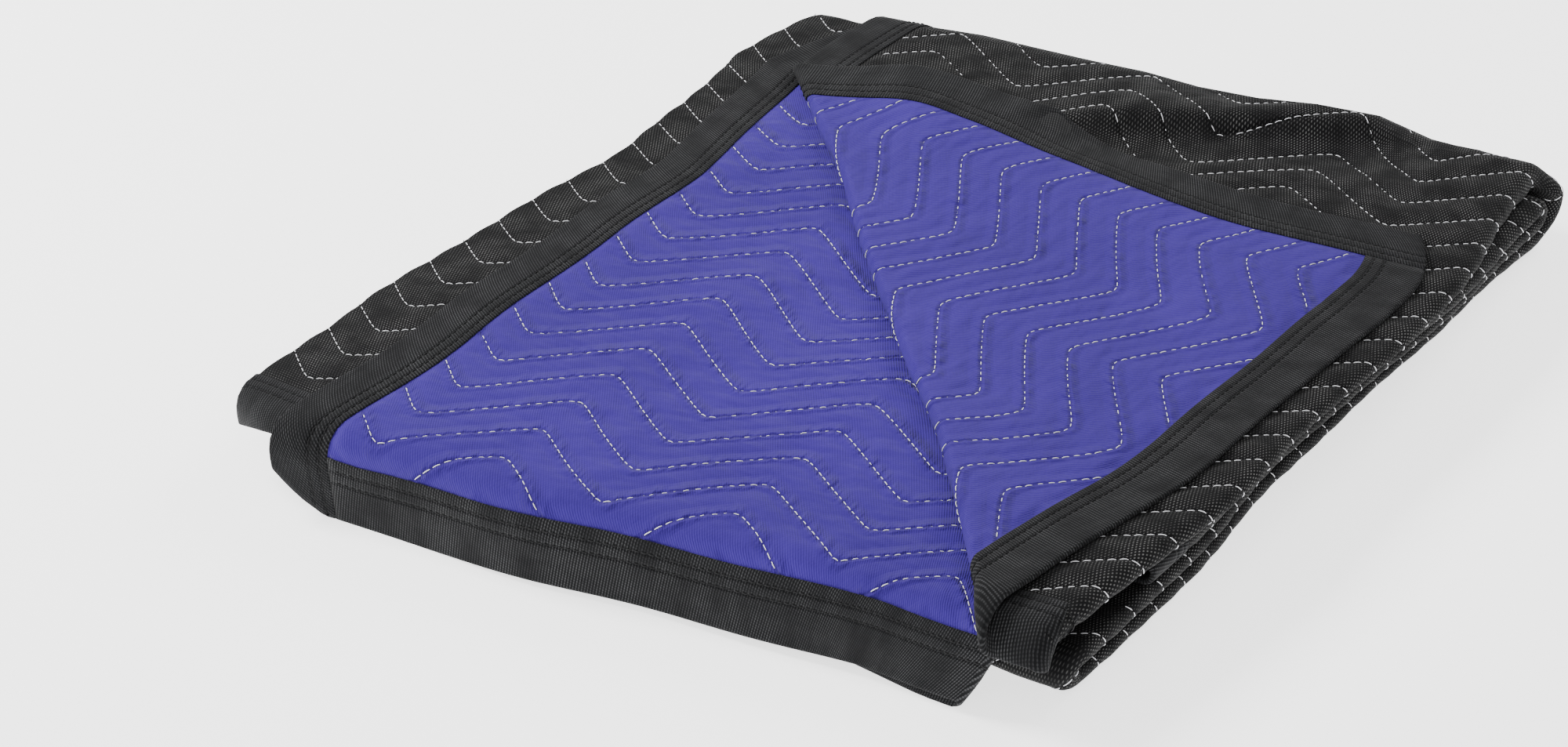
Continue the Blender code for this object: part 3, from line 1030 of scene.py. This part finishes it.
def blue_face() -> bpy.types.Material:
    """The blue face: a fine diagonal rib, soft puckers along the seams, with painted shade in the seams and
    puckers and painted highlight on the rib crests.

    Returns:
        The material.
    """
    paint = Paint(BLUE_FACE)
    seam = paint.seam_distance()
    rib = (paint.across * 0.79 - paint.along * 0.61).wave(BLUE_RIB)
    cross = (paint.across * 0.61 + paint.along * 0.79).wave(BLUE_CROSS)
    fade = paint.noise((9.0, 9.0), 3.0)
    fuzz = paint.noise((420.0, 420.0), 2.0)
    pucker = paint.noise((150.0, 38.0), 2.0)
    near = 1 - seam.within(0.02, 0.30)
    # Colour: lighter in broad random patches and on loose fibres, and on the rib crests as painted highlight;
    # painted shade darkens the seam grooves and, near the seams, the puckers.
    paint.colour(fade.within(0.25, 0.75) * 0.45 + fuzz * 0.35 + rib * 0.25,
                 (seam.within(0.0, 0.07) * 0.24 + 0.76) * (1 - near * pucker.within(0.45, 0.75) * 0.14))
    paint.bump(rib * 0.20 + cross * 0.05 + fuzz * 0.08 + pucker * near * 4.2
               + paint.noise((26.0, 60.0), 2.0) * 4.4 + seam.within(0.0, 0.10) * 0.9)
    return paint.material


def black_face() -> bpy.types.Material:
    """The black face: a coarse black mesh whose yarns catch the light, painted in as bright specks, with
    painted shade in the seams.

    Returns:
        The material.
    """
    paint = Paint(BLACK_FACE)
    seam = paint.seam_distance()
    first = (paint.across * 0.88 + paint.along * 0.48).wave(MESH_PITCH)
    second = (paint.across * 0.88 - paint.along * 0.48).wave(MESH_PITCH)
    speck = first * second
    # Broad random patches where the painted highlight of the specks is weaker.
    glint_patches = paint.noise((60.0, 60.0), 2.0).within(0.30, 0.72)
    grain = paint.noise((700.0, 700.0), 1.0)
    # Colour: the specks are painted highlight, dimmed in patches and by fine grain; painted shade darkens the
    # seam grooves.
    paint.colour(speck.within(0.30, 0.85) * (glint_patches * 0.8 + 0.2) * (grain * 0.9 + 0.2),
                 seam.within(0.0, 0.07) * 0.3 + 0.7)
    paint.bump(speck * 0.20 + paint.noise((30.0, 70.0), 2.0) * 2.8 + seam.within(0.0, 0.10) * 0.8)
    return paint.material


def tape_finish() -> bpy.types.Material:
    """The binding tape: crosswise ribs whose crests carry bright specks of painted highlight, with creases
    along it.

    Returns:
        The material. Its flat map is (depth from the edge, place along the edge).
    """
    paint = Paint(TAPE_FINISH)
    rib = (paint.along * 0.96 + paint.across * 0.28).wave(TAPE_RIB)
    cross = (paint.across * 0.96 - paint.along * 0.28).wave(TAPE_CROSS)
    glint_patches = paint.noise((30.0, 60.0), 2.0).within(0.25, 0.75)
    grain = paint.noise((600.0, 600.0), 1.0)
    # Painted highlight on the rib crests, dimmed in broad patches and by fine grain.
    lit = (rib * 0.65 + rib * cross * 0.6).within(0.30, 1.15)
    paint.colour(lit * (glint_patches * 0.8 + 0.25) * (grain * 0.8 + 0.35))
    outer, inner = ((paint.across - row).maths("ABSOLUTE").within(0.0, ROW_REACH) for row in TAPE_ROWS)
    paint.bump(rib * 0.15 + cross * rib * 0.06 + outer * 0.7 + inner * 0.7
               + paint.noise((70.0, 22.0), 2.0) * 2.2)
    return paint.material


def plain_finish(finish: Finish) -> bpy.types.Material:
    """A plain finish for thread and floor.

    Args:
        finish: Its values.

    Returns:
        The material.
    """
    paint = Paint(finish)
    if finish is FLOOR_FINISH:
        paint.set_shader({"Emission Color": (1.0, 1.0, 1.0, 1.0), "Emission Strength": 1.9})
    else:
        paint.colour(paint.noise((900.0, 900.0), 1.0))
    return paint.material


def new_piece(name: str, points: Array, faces: list[Sequence[int]],
              flat: Array | None = None) -> bpy.types.Object:
    """Make an object from points and faces.

    Args:
        name: The object's name.
        points: Its points.
        faces: Its faces, as indices of points.
        flat: A flat map, one row for each point.

    Returns:
        The object, in the scene.
    """
    mesh = bpy.data.meshes.new(name)
    mesh.from_pydata(points.tolist(), [], faces)
    if flat is not None:
        layer = mesh.uv_layers.new(name="flat")
        corner = np.empty(len(mesh.loops), dtype=np.int32)
        mesh.loops.foreach_get("vertex_index", corner)
        layer.data.foreach_set("uv", np.asarray(flat, dtype=np.float32)[corner].ravel())
    piece = bpy.data.objects.new(name, mesh)
    bpy.context.scene.collection.objects.link(piece)
    return piece


@dataclass
class QuiltedCloth:
    """The quilted sheet itself, one closed piece with a blue and a black face."""

    lay: Lay
    pitch: float = 0.0045
    near_rim: float = 0.006
    at_rim: float = 0.002
    near_fold: float = 0.006
    fold_pitches: tuple[float, float, float] = (0.0013, 0.0007, 0.0008)
    hidden: float = 0.028
    row_pitches: tuple[float, ...] = (0.005, 0.009, 0.002, 0.009, 0.003, 0.012)
    bend_cuts: int = 12
    bend_after: tuple[float, float] = (0.0025, 0.006)
    bend_reach: tuple[float, float] = (-0.008, 0.028)

    def stations(self) -> tuple[Array, Array, Array]:
        """Lines of the flat grid.

        Returns:
            Fine and coarse lines across the width, and lines along the length.
        """
        lay, inset, rim = self.lay, self.lay.sizes.inset, self.lay.sizes.rim
        mark, end = lay.u_marks, lay.width
        right, left, inner = self.fold_pitches
        shared = [(mark[1], right), (mark[2], self.near_fold), (mark[2] + 0.03, self.hidden),
                  (mark[3] - 0.03, self.near_fold), (mark[3], left), (mark[4], self.near_fold),
                  (mark[4] + 0.06, self.hidden), (mark[5], inner)]
        begin = [(inset, self.near_rim), (rim, self.at_rim), (rim + self.near_rim, self.pitch)]
        fine = steps(begin + shared + [(mark[6], self.pitch), (end - rim - self.near_rim, self.at_rim),
                                       (end - rim, self.near_rim)], end - inset)
        coarse = steps([(inset, 0.010), (rim, 0.04), (mark[1] - 0.03, 0.008)] + shared
                       + [(mark[6], 0.04), (end - rim, 0.010)], end - inset)
        coarse = fine[np.unique(np.abs(fine[None, :] - coarse[:, None]).argmin(axis=1))]
        rows = steps(begin + list(zip(lay.v_marks[1:], self.row_pitches)) + [(lay.length - rim, 0.01)],
                     lay.length - inset)
        return fine, coarse, rows

    def flat_sheet(self) -> bmesh.types.BMesh:
        """The flat grid: fine on the top quarter, coarse on the ones under it.

        Returns:
            The grid, cut along the crease's bend.
        """
        fine, coarse, rows = self.stations()
        places = np.searchsorted(fine, coarse)
        sheet = bmesh.new()
        lines = []
        for v in rows:
            columns = fine if v <= self.lay.v_marks[1] + 1e-6 else coarse
            lines.append([sheet.verts.new((u, v, 0.0)) for u in columns])
        for low, high in zip(lines, lines[1:]):
            if len(low) == len(high):
                for index in range(len(low) - 1):
                    sheet.faces.new((low[index], low[index + 1], high[index + 1], high[index]))
            else:
                for index in range(len(high) - 1):
                    under = low[places[index]:places[index + 1] + 1]
                    sheet.faces.new((*under, high[index + 1], high[index]))
        self.cut_bend(sheet)
        return sheet

    def cut_bend(self, sheet: bmesh.types.BMesh) -> None:
        """Cut lines that run along the crease where its corner turns back.

        Args:
            sheet: The flat grid.
        """
        lay, plan = self.lay, self.lay.plan
        shift = plan.front_shift[0]
        bend = lay.crease_bend
        reach = np.concatenate([np.linspace(0.0, bend, self.bend_cuts + 1), bend + np.array(self.bend_after)])
        for past in reach:
            ends = []
            for back in (plan.crease_back, plan.crease_front):
                x, y = np.array(back) + lay.crease_out * past
                ends.append(Vector((x - plan.top_edge_x, (y - shift) / (1 - shift / lay.v_marks[1]), 0)))
            run = ends[1] - ends[0]
            near = [face for face in sheet.faces if self.near_bend(face.calc_center_median())]
            parts = {part for face in near for part in (*face.edges, *face.verts)}
            bmesh.ops.bisect_plane(sheet, geom=list(parts) + near, dist=0.0002,
                                   plane_co=ends[0], plane_no=(run.y, -run.x, 0))

    def near_bend(self, spot: Vector) -> bool:
        """Tell whether a face of the flat grid lies by the crease.

        Args:
            spot: The face's middle.

        Returns:
            True if the crease's cut lines may cross it.
        """
        u, v = np.array([spot.x]), np.array([spot.y])
        low, high = self.bend_reach
        return bool(self.lay.on_top_ply(u, v)[0]) and low < self.lay.past_crease(u, v)[0] < high

    def build(self, blue: bpy.types.Material, black: bpy.types.Material) -> bpy.types.Object:
        """Make the cloth.

        Args:
            blue: Material of the blue face.
            black: Material of the black face.

        Returns:
            The piece.
        """
        sheet = self.flat_sheet()
        under = list(sheet.verts)
        raised = bmesh.ops.extrude_face_region(sheet, geom=list(sheet.faces))
        for vert in under:
            vert.co.z = Face.BLUE.value
        for item in raised["geom"]:
            if isinstance(item, bmesh.types.BMVert):
                item.co.z = Face.BLACK.value
        bmesh.ops.recalc_face_normals(sheet, faces=sheet.faces)
        sheet.verts.index_update()
        flat = np.array([vert.co[:] for vert in sheet.verts])
        faces = [[vert.index for vert in face.verts] for face in sheet.faces]
        sheet.free()
        u, v, side = flat.T
        points = self.lay.place(u, v, side * self.lay.half_thickness(u, v, side))
        piece = new_piece("quilted_sheet", points, faces, flat[:, :2])
        piece.data.materials.append(blue)
        piece.data.materials.append(black)
        sides = np.array([min(side[face]) for face in map(list, faces)])
        piece.data.polygons.foreach_set("material_index", (sides > 0).astype(np.int32))
        piece.data.shade_smooth()
        return piece


class Edge(Enum):
    """The edges that a tape binds: the CAD node, whether it runs along v, and whether it is the far one."""

    TOP_SIDE = ("binding_top_side", True, False)
    PAGE_SIDE = ("binding_page_side", True, True)
    FRONT = ("binding_front", False, False)
    LAST = ("binding_last", False, True)

    def __init__(self, node: str, along_v: bool, far: bool) -> None:
        self.node = node
        self.along_v = along_v
        self.far = far

    @property
    def tape(self) -> str:
        """Name of the tape's piece in the scene."""
        return self.node.replace("binding", "tape")


@dataclass
class BindingTape:
    """A tape folded round one edge of the cloth."""

    lay: Lay
    edge: Edge
    fan: float = 0.060
    leaf: tuple[tuple[float, float], ...] = (
        (0.0310, 0.00035), (0.0302, 0.0), (0.0262, 0.00022), (0.0232, 0.0), (0.0205, 0.00022),
        (0.0150, 0.0), (0.0100, 0.0), (0.0060, 0.0), (0.0030, 0.0),
    )
    slot_middle: float = 0.015
    round_steps: int = 6
    bend_steps: int = 15
    bend_clear: float = 0.001

    def profile(self) -> Array:
        """The tape's section.

        Returns:
            Rows of (depth from the edge, height in the cloth), once round.
        """
        sizes = self.lay.sizes
        out, inn = sizes.tape_out, sizes.tape_in
        leaf = [(depth, out - drawn_in) for depth, drawn_in in self.leaf]
        angles = np.radians(np.linspace(90, 0, self.round_steps))
        bend = [(out * (1 - math.cos(angle)), out * math.sin(angle)) for angle in angles]
        upper = leaf + bend
        lower = [(depth, -half) for depth, half in reversed(upper[:-1])]
        slot = [(sizes.tape_width, inn), (self.slot_middle, inn), (sizes.tape_web, inn)]
        return np.array(upper + lower + [(depth, -half) for depth, half in slot] + slot[::-1])

    def stations(self) -> tuple[Array, Array]:
        """Places along the edge, and how far each slants towards the crease's line.

        Returns:
            The places, and the slant of each as place per depth.
        """
        lay, edge = self.lay, self.edge
        if edge.along_v:
            row = lay.v_marks
            pitches = (0.004, 0.005, 0.012, 0.002, 0.012, 0.002, 0.012)
            places = steps(list(zip(row, pitches)), lay.length)
        else:
            between = 0.020 if edge.far else 0.0045
            pitches = (between, 0.0013, between, 0.0007, between, 0.0008, between)
            places = steps(list(zip((lay.sizes.rim, *lay.u_marks[1:]), pitches)), lay.width - lay.sizes.rim)
        if edge.far:
            return places, np.zeros_like(places)
        start, end = self.bend_span()
        slope = lay.crease_dir[1] / lay.crease_dir[0]
        slope = slope if edge.along_v else 1 / slope
        inside = np.linspace(start, end, self.bend_steps)
        outside = places[(places < start - self.bend_clear) | (places > end + self.bend_clear)]
        places = np.unique(np.concatenate([outside, inside]))
        away = np.maximum(np.maximum(start - places, places - end), 0.0)
        return places, slope * np.clip(1 - away / self.fan, 0.0, 1.0)

    def bend_span(self) -> tuple[float, float]:
        """Where the crease's bend crosses this edge.

        Returns:
            The first and last place of the bend along the edge.
        """
        lay = self.lay
        samples = np.linspace(0.0, 0.45, 4501)
        zero = np.zeros_like(samples)
        past = lay.past_crease(zero, samples) if self.edge.along_v else lay.past_crease(samples, zero)
        bend = samples[(past > 0) & (past < lay.crease_bend)]
        return float(bend[0]), float(bend[-1])

    def on_cloth(self, place: Array, depth: Array) -> tuple[Array, Array]:
        """Flat place of points of the tape.

        Args:
            place: Places along the edge.
            depth: Depths from the edge.

        Returns:
            u and v.
        """
        if self.edge.along_v:
            return (self.lay.width - depth if self.edge.far else depth), place
        return place, (self.lay.length - depth if self.edge.far else depth)

    def build(self, material: bpy.types.Material) -> bpy.types.Object:
        """Make the tape.

        Args:
            material: Its finish.

        Returns:
            The piece.
        """
        profile = self.profile()
        places, slants = self.stations()
        rings, ring = len(places), len(profile)
        depth = np.broadcast_to(profile[:, 0], (rings, ring))
        along = places[:, None] + slants[:, None] * depth
        u, v = self.on_cloth(along, depth)
        points = self.lay.place(u, v, np.broadcast_to(profile[:, 1], (rings, ring)))
        faces = tube_faces(rings, ring) + [tuple(range(ring)), tuple(range((rings - 1) * ring, rings * ring))]
        flat = np.stack([depth.ravel(), along.ravel()], axis=1)
        piece = new_piece(self.edge.tape, points, faces, flat)
        solid = bmesh.new()
        solid.from_mesh(piece.data)
        bmesh.ops.recalc_face_normals(solid, faces=solid.faces)
        solid.to_mesh(piece.data)
        solid.free()
        piece.data.materials.append(material)
        piece.data.shade_smooth()
        return piece


@dataclass(frozen=True)
class StitchSize:
    """Size of a stitch and how far apart they are."""

    length: float
    pitch: float
    radius: float


QUILT_STITCH = StitchSize(0.0036, 0.0050, 0.00027)
TAPE_STITCH = StitchSize(0.0030, 0.0040, 0.00030)


@dataclass
class Stitches:
    """A run of stitches, each laid on a point of the cloth by geometry nodes."""

    name: str
    size: StitchSize
    middles: list[Array] = field(default_factory=list)
    runs: list[Array] = field(default_factory=list)
    outs: list[Array] = field(default_factory=list)

    def add(self, start: Array, middle: Array, end: Array, inside: Array) -> None:
        """Add stitches.

        Args:
            start: Where each starts.
            middle: The middle of each.
            end: Where each ends.
            inside: A point under each, inside the cloth.
        """
        self.middles.append(middle)
        self.runs.append(end - start)
        out = middle - inside
        self.outs.append(out / np.linalg.norm(out, axis=1)[:, None])

    def one_stitch(self) -> bpy.types.Object:
        """The stitch that is repeated: a strand whose ends dip into the cloth.

        Returns:
            The object, one metre long per metre of run.
        """
        share = np.linspace(-0.5, 0.5, 5)
        dip = np.array([-1.15, 0.0, 0.25, 0.0, -1.15]) * self.size.radius
        thick = np.array([0.75, 1.0, 1.0, 1.0, 0.75]) * self.size.radius
        turns = np.radians(np.arange(0, 360, 72))
        points = np.array([(x, r * math.cos(turn), z + r * math.sin(turn))
                           for x, z, r in zip(share, dip, thick) for turn in turns])
        return new_piece(self.name + "_one", points, tube_faces(len(share), len(turns)))

    def build(self, material: bpy.types.Material) -> bpy.types.Object:
        """Make the stitches.

        Args:
            material: The thread's finish.

        Returns:
            The piece.
        """
        middles, runs, outs = (np.concatenate(rows) for rows in (self.middles, self.runs, self.outs))
        seeds = new_piece(self.name, middles, [])
        for label, rows in (("run", runs), ("out", outs)):
            layer = seeds.data.attributes.new(label, "FLOAT_VECTOR", "POINT")
            layer.data.foreach_set("vector", rows.astype(np.float32).ravel())
        one = self.one_stitch()
        modifier = seeds.modifiers.new("lay_stitches", "NODES")
        modifier.node_group, sockets = stitch_nodes()
        modifier[sockets["Stitch"]] = one
        modifier[sockets["Thread"]] = material
        shown = seeds.evaluated_get(bpy.context.evaluated_depsgraph_get())
        mesh = bpy.data.meshes.new_from_object(shown)
        seeds.modifiers.clear()
        seeds.data = mesh
        bpy.data.objects.remove(one, do_unlink=True)
        mesh.shade_smooth()
        LOG.info("%s: %d stitches", self.name, len(middles))
        return seeds


def stitch_nodes() -> tuple[bpy.types.NodeTree, dict[str, str]]:
    """Node group that lays one stitch on every point, along its run and out of its face.

    Returns:
        The group, and the identifiers of its inputs by name.
    """
    known = bpy.data.node_groups.get("lay_stitches")
    if known is None:
        known = bpy.data.node_groups.new("lay_stitches", "GeometryNodeTree")
        face = known.interface
        face.new_socket("Geometry", in_out="INPUT", socket_type="NodeSocketGeometry")
        face.new_socket("Stitch", in_out="INPUT", socket_type="NodeSocketObject")
        face.new_socket("Thread", in_out="INPUT", socket_type="NodeSocketMaterial")
        face.new_socket("Geometry", in_out="OUTPUT", socket_type="NodeSocketGeometry")
        tree = Tree(known)
        given = tree.node("NodeGroupInput").outputs
        run, out = (tree.node("GeometryNodeInputNamedAttribute", {"data_type": "FLOAT_VECTOR"},
                              {"Name": label}).outputs["Attribute"] for label in ("run", "out"))
        forward = tree.node("FunctionNodeAlignRotationToVector", {"axis": "X"}, {"Vector": run})
        upright = tree.node("FunctionNodeAlignRotationToVector", {"axis": "Z", "pivot_axis": "X"},
                            {"Rotation": forward.outputs["Rotation"], "Vector": out})
        length = tree.node("ShaderNodeVectorMath", {"operation": "LENGTH"}, {0: run})
        scale = tree.node("ShaderNodeCombineXYZ", sockets={"X": length.outputs["Value"], "Y": 1.0, "Z": 1.0})
        source = tree.node("GeometryNodeObjectInfo", sockets={"Object": given["Stitch"]})
        spread = tree.node("GeometryNodeInstanceOnPoints", sockets={
            "Points": given["Geometry"], "Instance": source.outputs["Geometry"],
            "Rotation": upright.outputs["Rotation"], "Scale": scale.outputs["Vector"]})
        real = tree.node("GeometryNodeRealizeInstances", sockets={"Geometry": spread.outputs["Instances"]})
        dressed = tree.node("GeometryNodeSetMaterial", sockets={
            "Geometry": real.outputs["Geometry"], "Material": given["Thread"]})
        tree.node("NodeGroupOutput", sockets={"Geometry": dressed.outputs["Geometry"]})
    sockets = {item.name: item.identifier for item in known.interface.items_tree if item.in_out == "INPUT"}
    return known, sockets


@dataclass
class QuiltSeams:
    """The white zigzag seams, on every face of the cloth that shows."""

    lay: Lay

    def shows(self, u: Array, v: Array, face: Face) -> Array:
        """Tell which places of a face can be seen.

        Args:
            u: Places across the width.
            v: Places along the length.
            face: Which face.

        Returns:
            True where a stitch is worth laying.
        """
        lay, rim = self.lay, self.lay.sizes.rim + 0.0012
        mark, row = lay.u_marks, lay.v_marks
        past = lay.past_crease(u, v)
        top = lay.on_top_ply(u, v)
        in_cloth = (u > rim) & (u < lay.width - rim) & (v > rim) & (v < lay.length - rim)
        first = v < row[1]
        if face is Face.BLUE:
            open_page = lay.page_past_crease(u, v) > -0.004
            return in_cloth & ((top & (past > 0)) | ((u > mark[6]) & first & open_page))
        ridges = (u > mark[1]) & (u < mark[2] + 0.004)
        turns = (u < mark[1]) & (((v > row[1]) & (v < row[2])) | ((v > row[3] - 0.01) & (v < row[4] + 0.01)))
        left = (u > mark[3] - 0.006) & (u < mark[4] + 0.060) & (first | (u < mark[4]))
        return in_cloth & ((top & (past < 0.4 * lay.crease_bend)) | ridges | turns | left)

    def build(self, face: Face, material: bpy.types.Material) -> bpy.types.Object:
        """Make the seams of one face.

        Args:
            face: Which face.
            material: The thread's finish.

        Returns:
            The piece.
        """
        lay, quilting, size = self.lay, self.lay.quilting, QUILT_STITCH
        line = np.linspace(0.0, lay.width, 9001)
        rise = quilting.zigzag(line)
        run = running(np.hypot(np.diff(line), np.diff(rise)))
        stitches = Stitches(f"seams_{face.name.lower()}_face", size)
        rows = int(lay.length / quilting.pitch) + 3
        for number in range(-2, rows):
            middle = np.arange(0.37 * (number % 3) * size.pitch, run[-1], size.pitch)
            ends = [np.interp(middle + part * size.length, run, line) for part in (-0.5, 0.0, 0.5)]
            base = quilting.start + number * quilting.pitch
            places = [base + quilting.zigzag(u) for u in ends]
            keep = self.shows(ends[1], places[1], face)
            if not keep.any():
                continue
            start, centre, end = (lay.surface(u[keep], v[keep], face, size.radius * 1.2)
                                  for u, v in zip(ends, places))
            inside = lay.place(ends[1][keep], places[1][keep], 0.0)
            stitches.add(start, centre, end, inside)
        return stitches.build(material)


@dataclass
class TapeSeams:
    """Two rows of black stitches along the inner edge of a tape, on both its leaves."""

    tape: BindingTape
    depths: tuple[float, float] = TAPE_ROWS
    clear: float = 0.003
    above: float = 0.00002

    def build(self, material: bpy.types.Material) -> bpy.types.Object:
        """Make the two rows.

        Args:
            material: The thread's finish.

        Returns:
            The piece.
        """
        lay, size, edge = self.tape.lay, TAPE_STITCH, self.tape.edge
        end = lay.v_marks[2] if edge.along_v else lay.width - lay.sizes.rim
        start = self.clear if edge.along_v else lay.sizes.rim + 0.002
        middle = np.arange(start, end - self.clear, size.pitch)
        stitches = Stitches(edge.tape + "_stitches", size)
        for depth in self.depths:
            for side in Face:
                half = side.value * (lay.sizes.tape_out + self.above)
                rows = []
                for part in (-0.5, 0.0, 0.5):
                    u, v = self.tape.on_cloth(middle + part * size.length, np.full_like(middle, depth))
                    rows.append(lay.place(u, v, half))
                u, v = self.tape.on_cloth(middle, np.full_like(middle, depth))
                stitches.add(*rows, lay.place(u, v, 0.0))
        return stitches.build(material)


@dataclass(frozen=True)
class Studio:
    """Camera, floor and lights."""

    place: tuple[float, float, float] = (0.9841106066, -1.408567007, 0.9788242848)
    right: tuple[float, float, float] = (0.83466968, 0.54870074, -0.04747663)
    up: tuple[float, float, float] = (-0.23662082, 0.43510888, 0.86872945)
    lens: float = 88.6
    shift: tuple[float, float] = (-0.0905, -0.017)
    floor_reach: float = 6.0
    daylight: float = 0.45
    lights: tuple[tuple[str, tuple[float, float, float], float, float], ...] = (
        ("key_light", (-1.5, -0.3, 1.5), 0.8, 70.0),
        ("fill_light", (1.2, -1.8, 1.6), 1.6, 26.0),
        ("back_light", (0.7, 1.9, 1.5), 1.2, 34.0),
    )

    def camera(self) -> None:
        """Stand the camera where the photograph was taken from."""
        data = bpy.data.cameras.new("camera")
        data.lens = self.lens
        data.sensor_width = 36.0
        data.shift_x, data.shift_y = self.shift
        data.clip_end = 20.0
        camera = bpy.data.objects.new("camera", data)
        right, up = Vector(self.right).normalized(), Vector(self.up).normalized()
        turn = Matrix((right, up, right.cross(up))).transposed()
        camera.matrix_world = Matrix.Translation(self.place) @ turn.to_4x4()
        bpy.context.scene.collection.objects.link(camera)
        bpy.context.scene.camera = camera

    def floor(self) -> None:
        """Lay the pale floor."""
        corners = ((-1, -1), (1, -1), (1, 1), (-1, 1))
        points = np.array([(x * self.floor_reach, y * self.floor_reach, 0.0) for x, y in corners])
        floor = new_piece("studio_floor", points, [(0, 1, 2, 3)])
        floor.data.materials.append(plain_finish(FLOOR_FINISH))

    def light(self, name: str, place: tuple[float, float, float], size: float, power: float) -> None:
        """Hang a soft light that faces the stack.

        Args:
            name: The light's name.
            place: Where it hangs.
            size: Its side.
            power: Its power in watts.
        """
        data = bpy.data.lights.new(name, "AREA")
        data.shape, data.size, data.energy = "SQUARE", size, power
        lamp = bpy.data.objects.new(name, data)
        lamp.location = place
        lamp.rotation_euler = (-Vector(place)).to_track_quat("-Z", "Y").to_euler()
        bpy.context.scene.collection.objects.link(lamp)

    def build(self) -> None:
        """Set up the whole studio."""
        self.camera()
        self.floor()
        for light in self.lights:
            self.light(*light)
        world = bpy.data.worlds.new("studio_world")
        world.use_nodes = True
        sky = world.node_tree.nodes["Background"].inputs
        sky["Color"].default_value = (1.0, 1.0, 1.0, 1.0)
        sky["Strength"].default_value = self.daylight
        bpy.context.scene.world = world


def report(piece: bpy.types.Object) -> bpy.types.Object:
    """Give a finished piece its body, and log its size.

    Args:
        piece: The piece.

    Returns:
        The piece.
    """
    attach(piece, "root")
    piece.data.calc_loop_triangles()
    LOG.info("%s: %d triangles", piece.name, len(piece.data.loop_triangles))
    return piece


def main() -> None:
    """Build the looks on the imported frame."""
    logging.basicConfig(level=logging.INFO)
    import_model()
    lay = Lay()
    Studio().build()
    white_thread, black_thread = plain_finish(WHITE_THREAD), plain_finish(BLACK_THREAD)
    cloth = report(QuiltedCloth(lay).build(blue_face(), black_face()))
    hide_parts("quilted_cloth")
    extras = [report(QuiltSeams(lay).build(face, white_thread)) for face in Face]
    tape = tape_finish()
    for edge in Edge:
        binding = BindingTape(lay, edge)
        piece = report(binding.build(tape))
        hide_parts(edge.node)
        extras.append(piece)
        if edge is not Edge.LAST:
            extras.append(report(TapeSeams(binding).build(black_thread)))


if __name__ == "__main__":
    main()
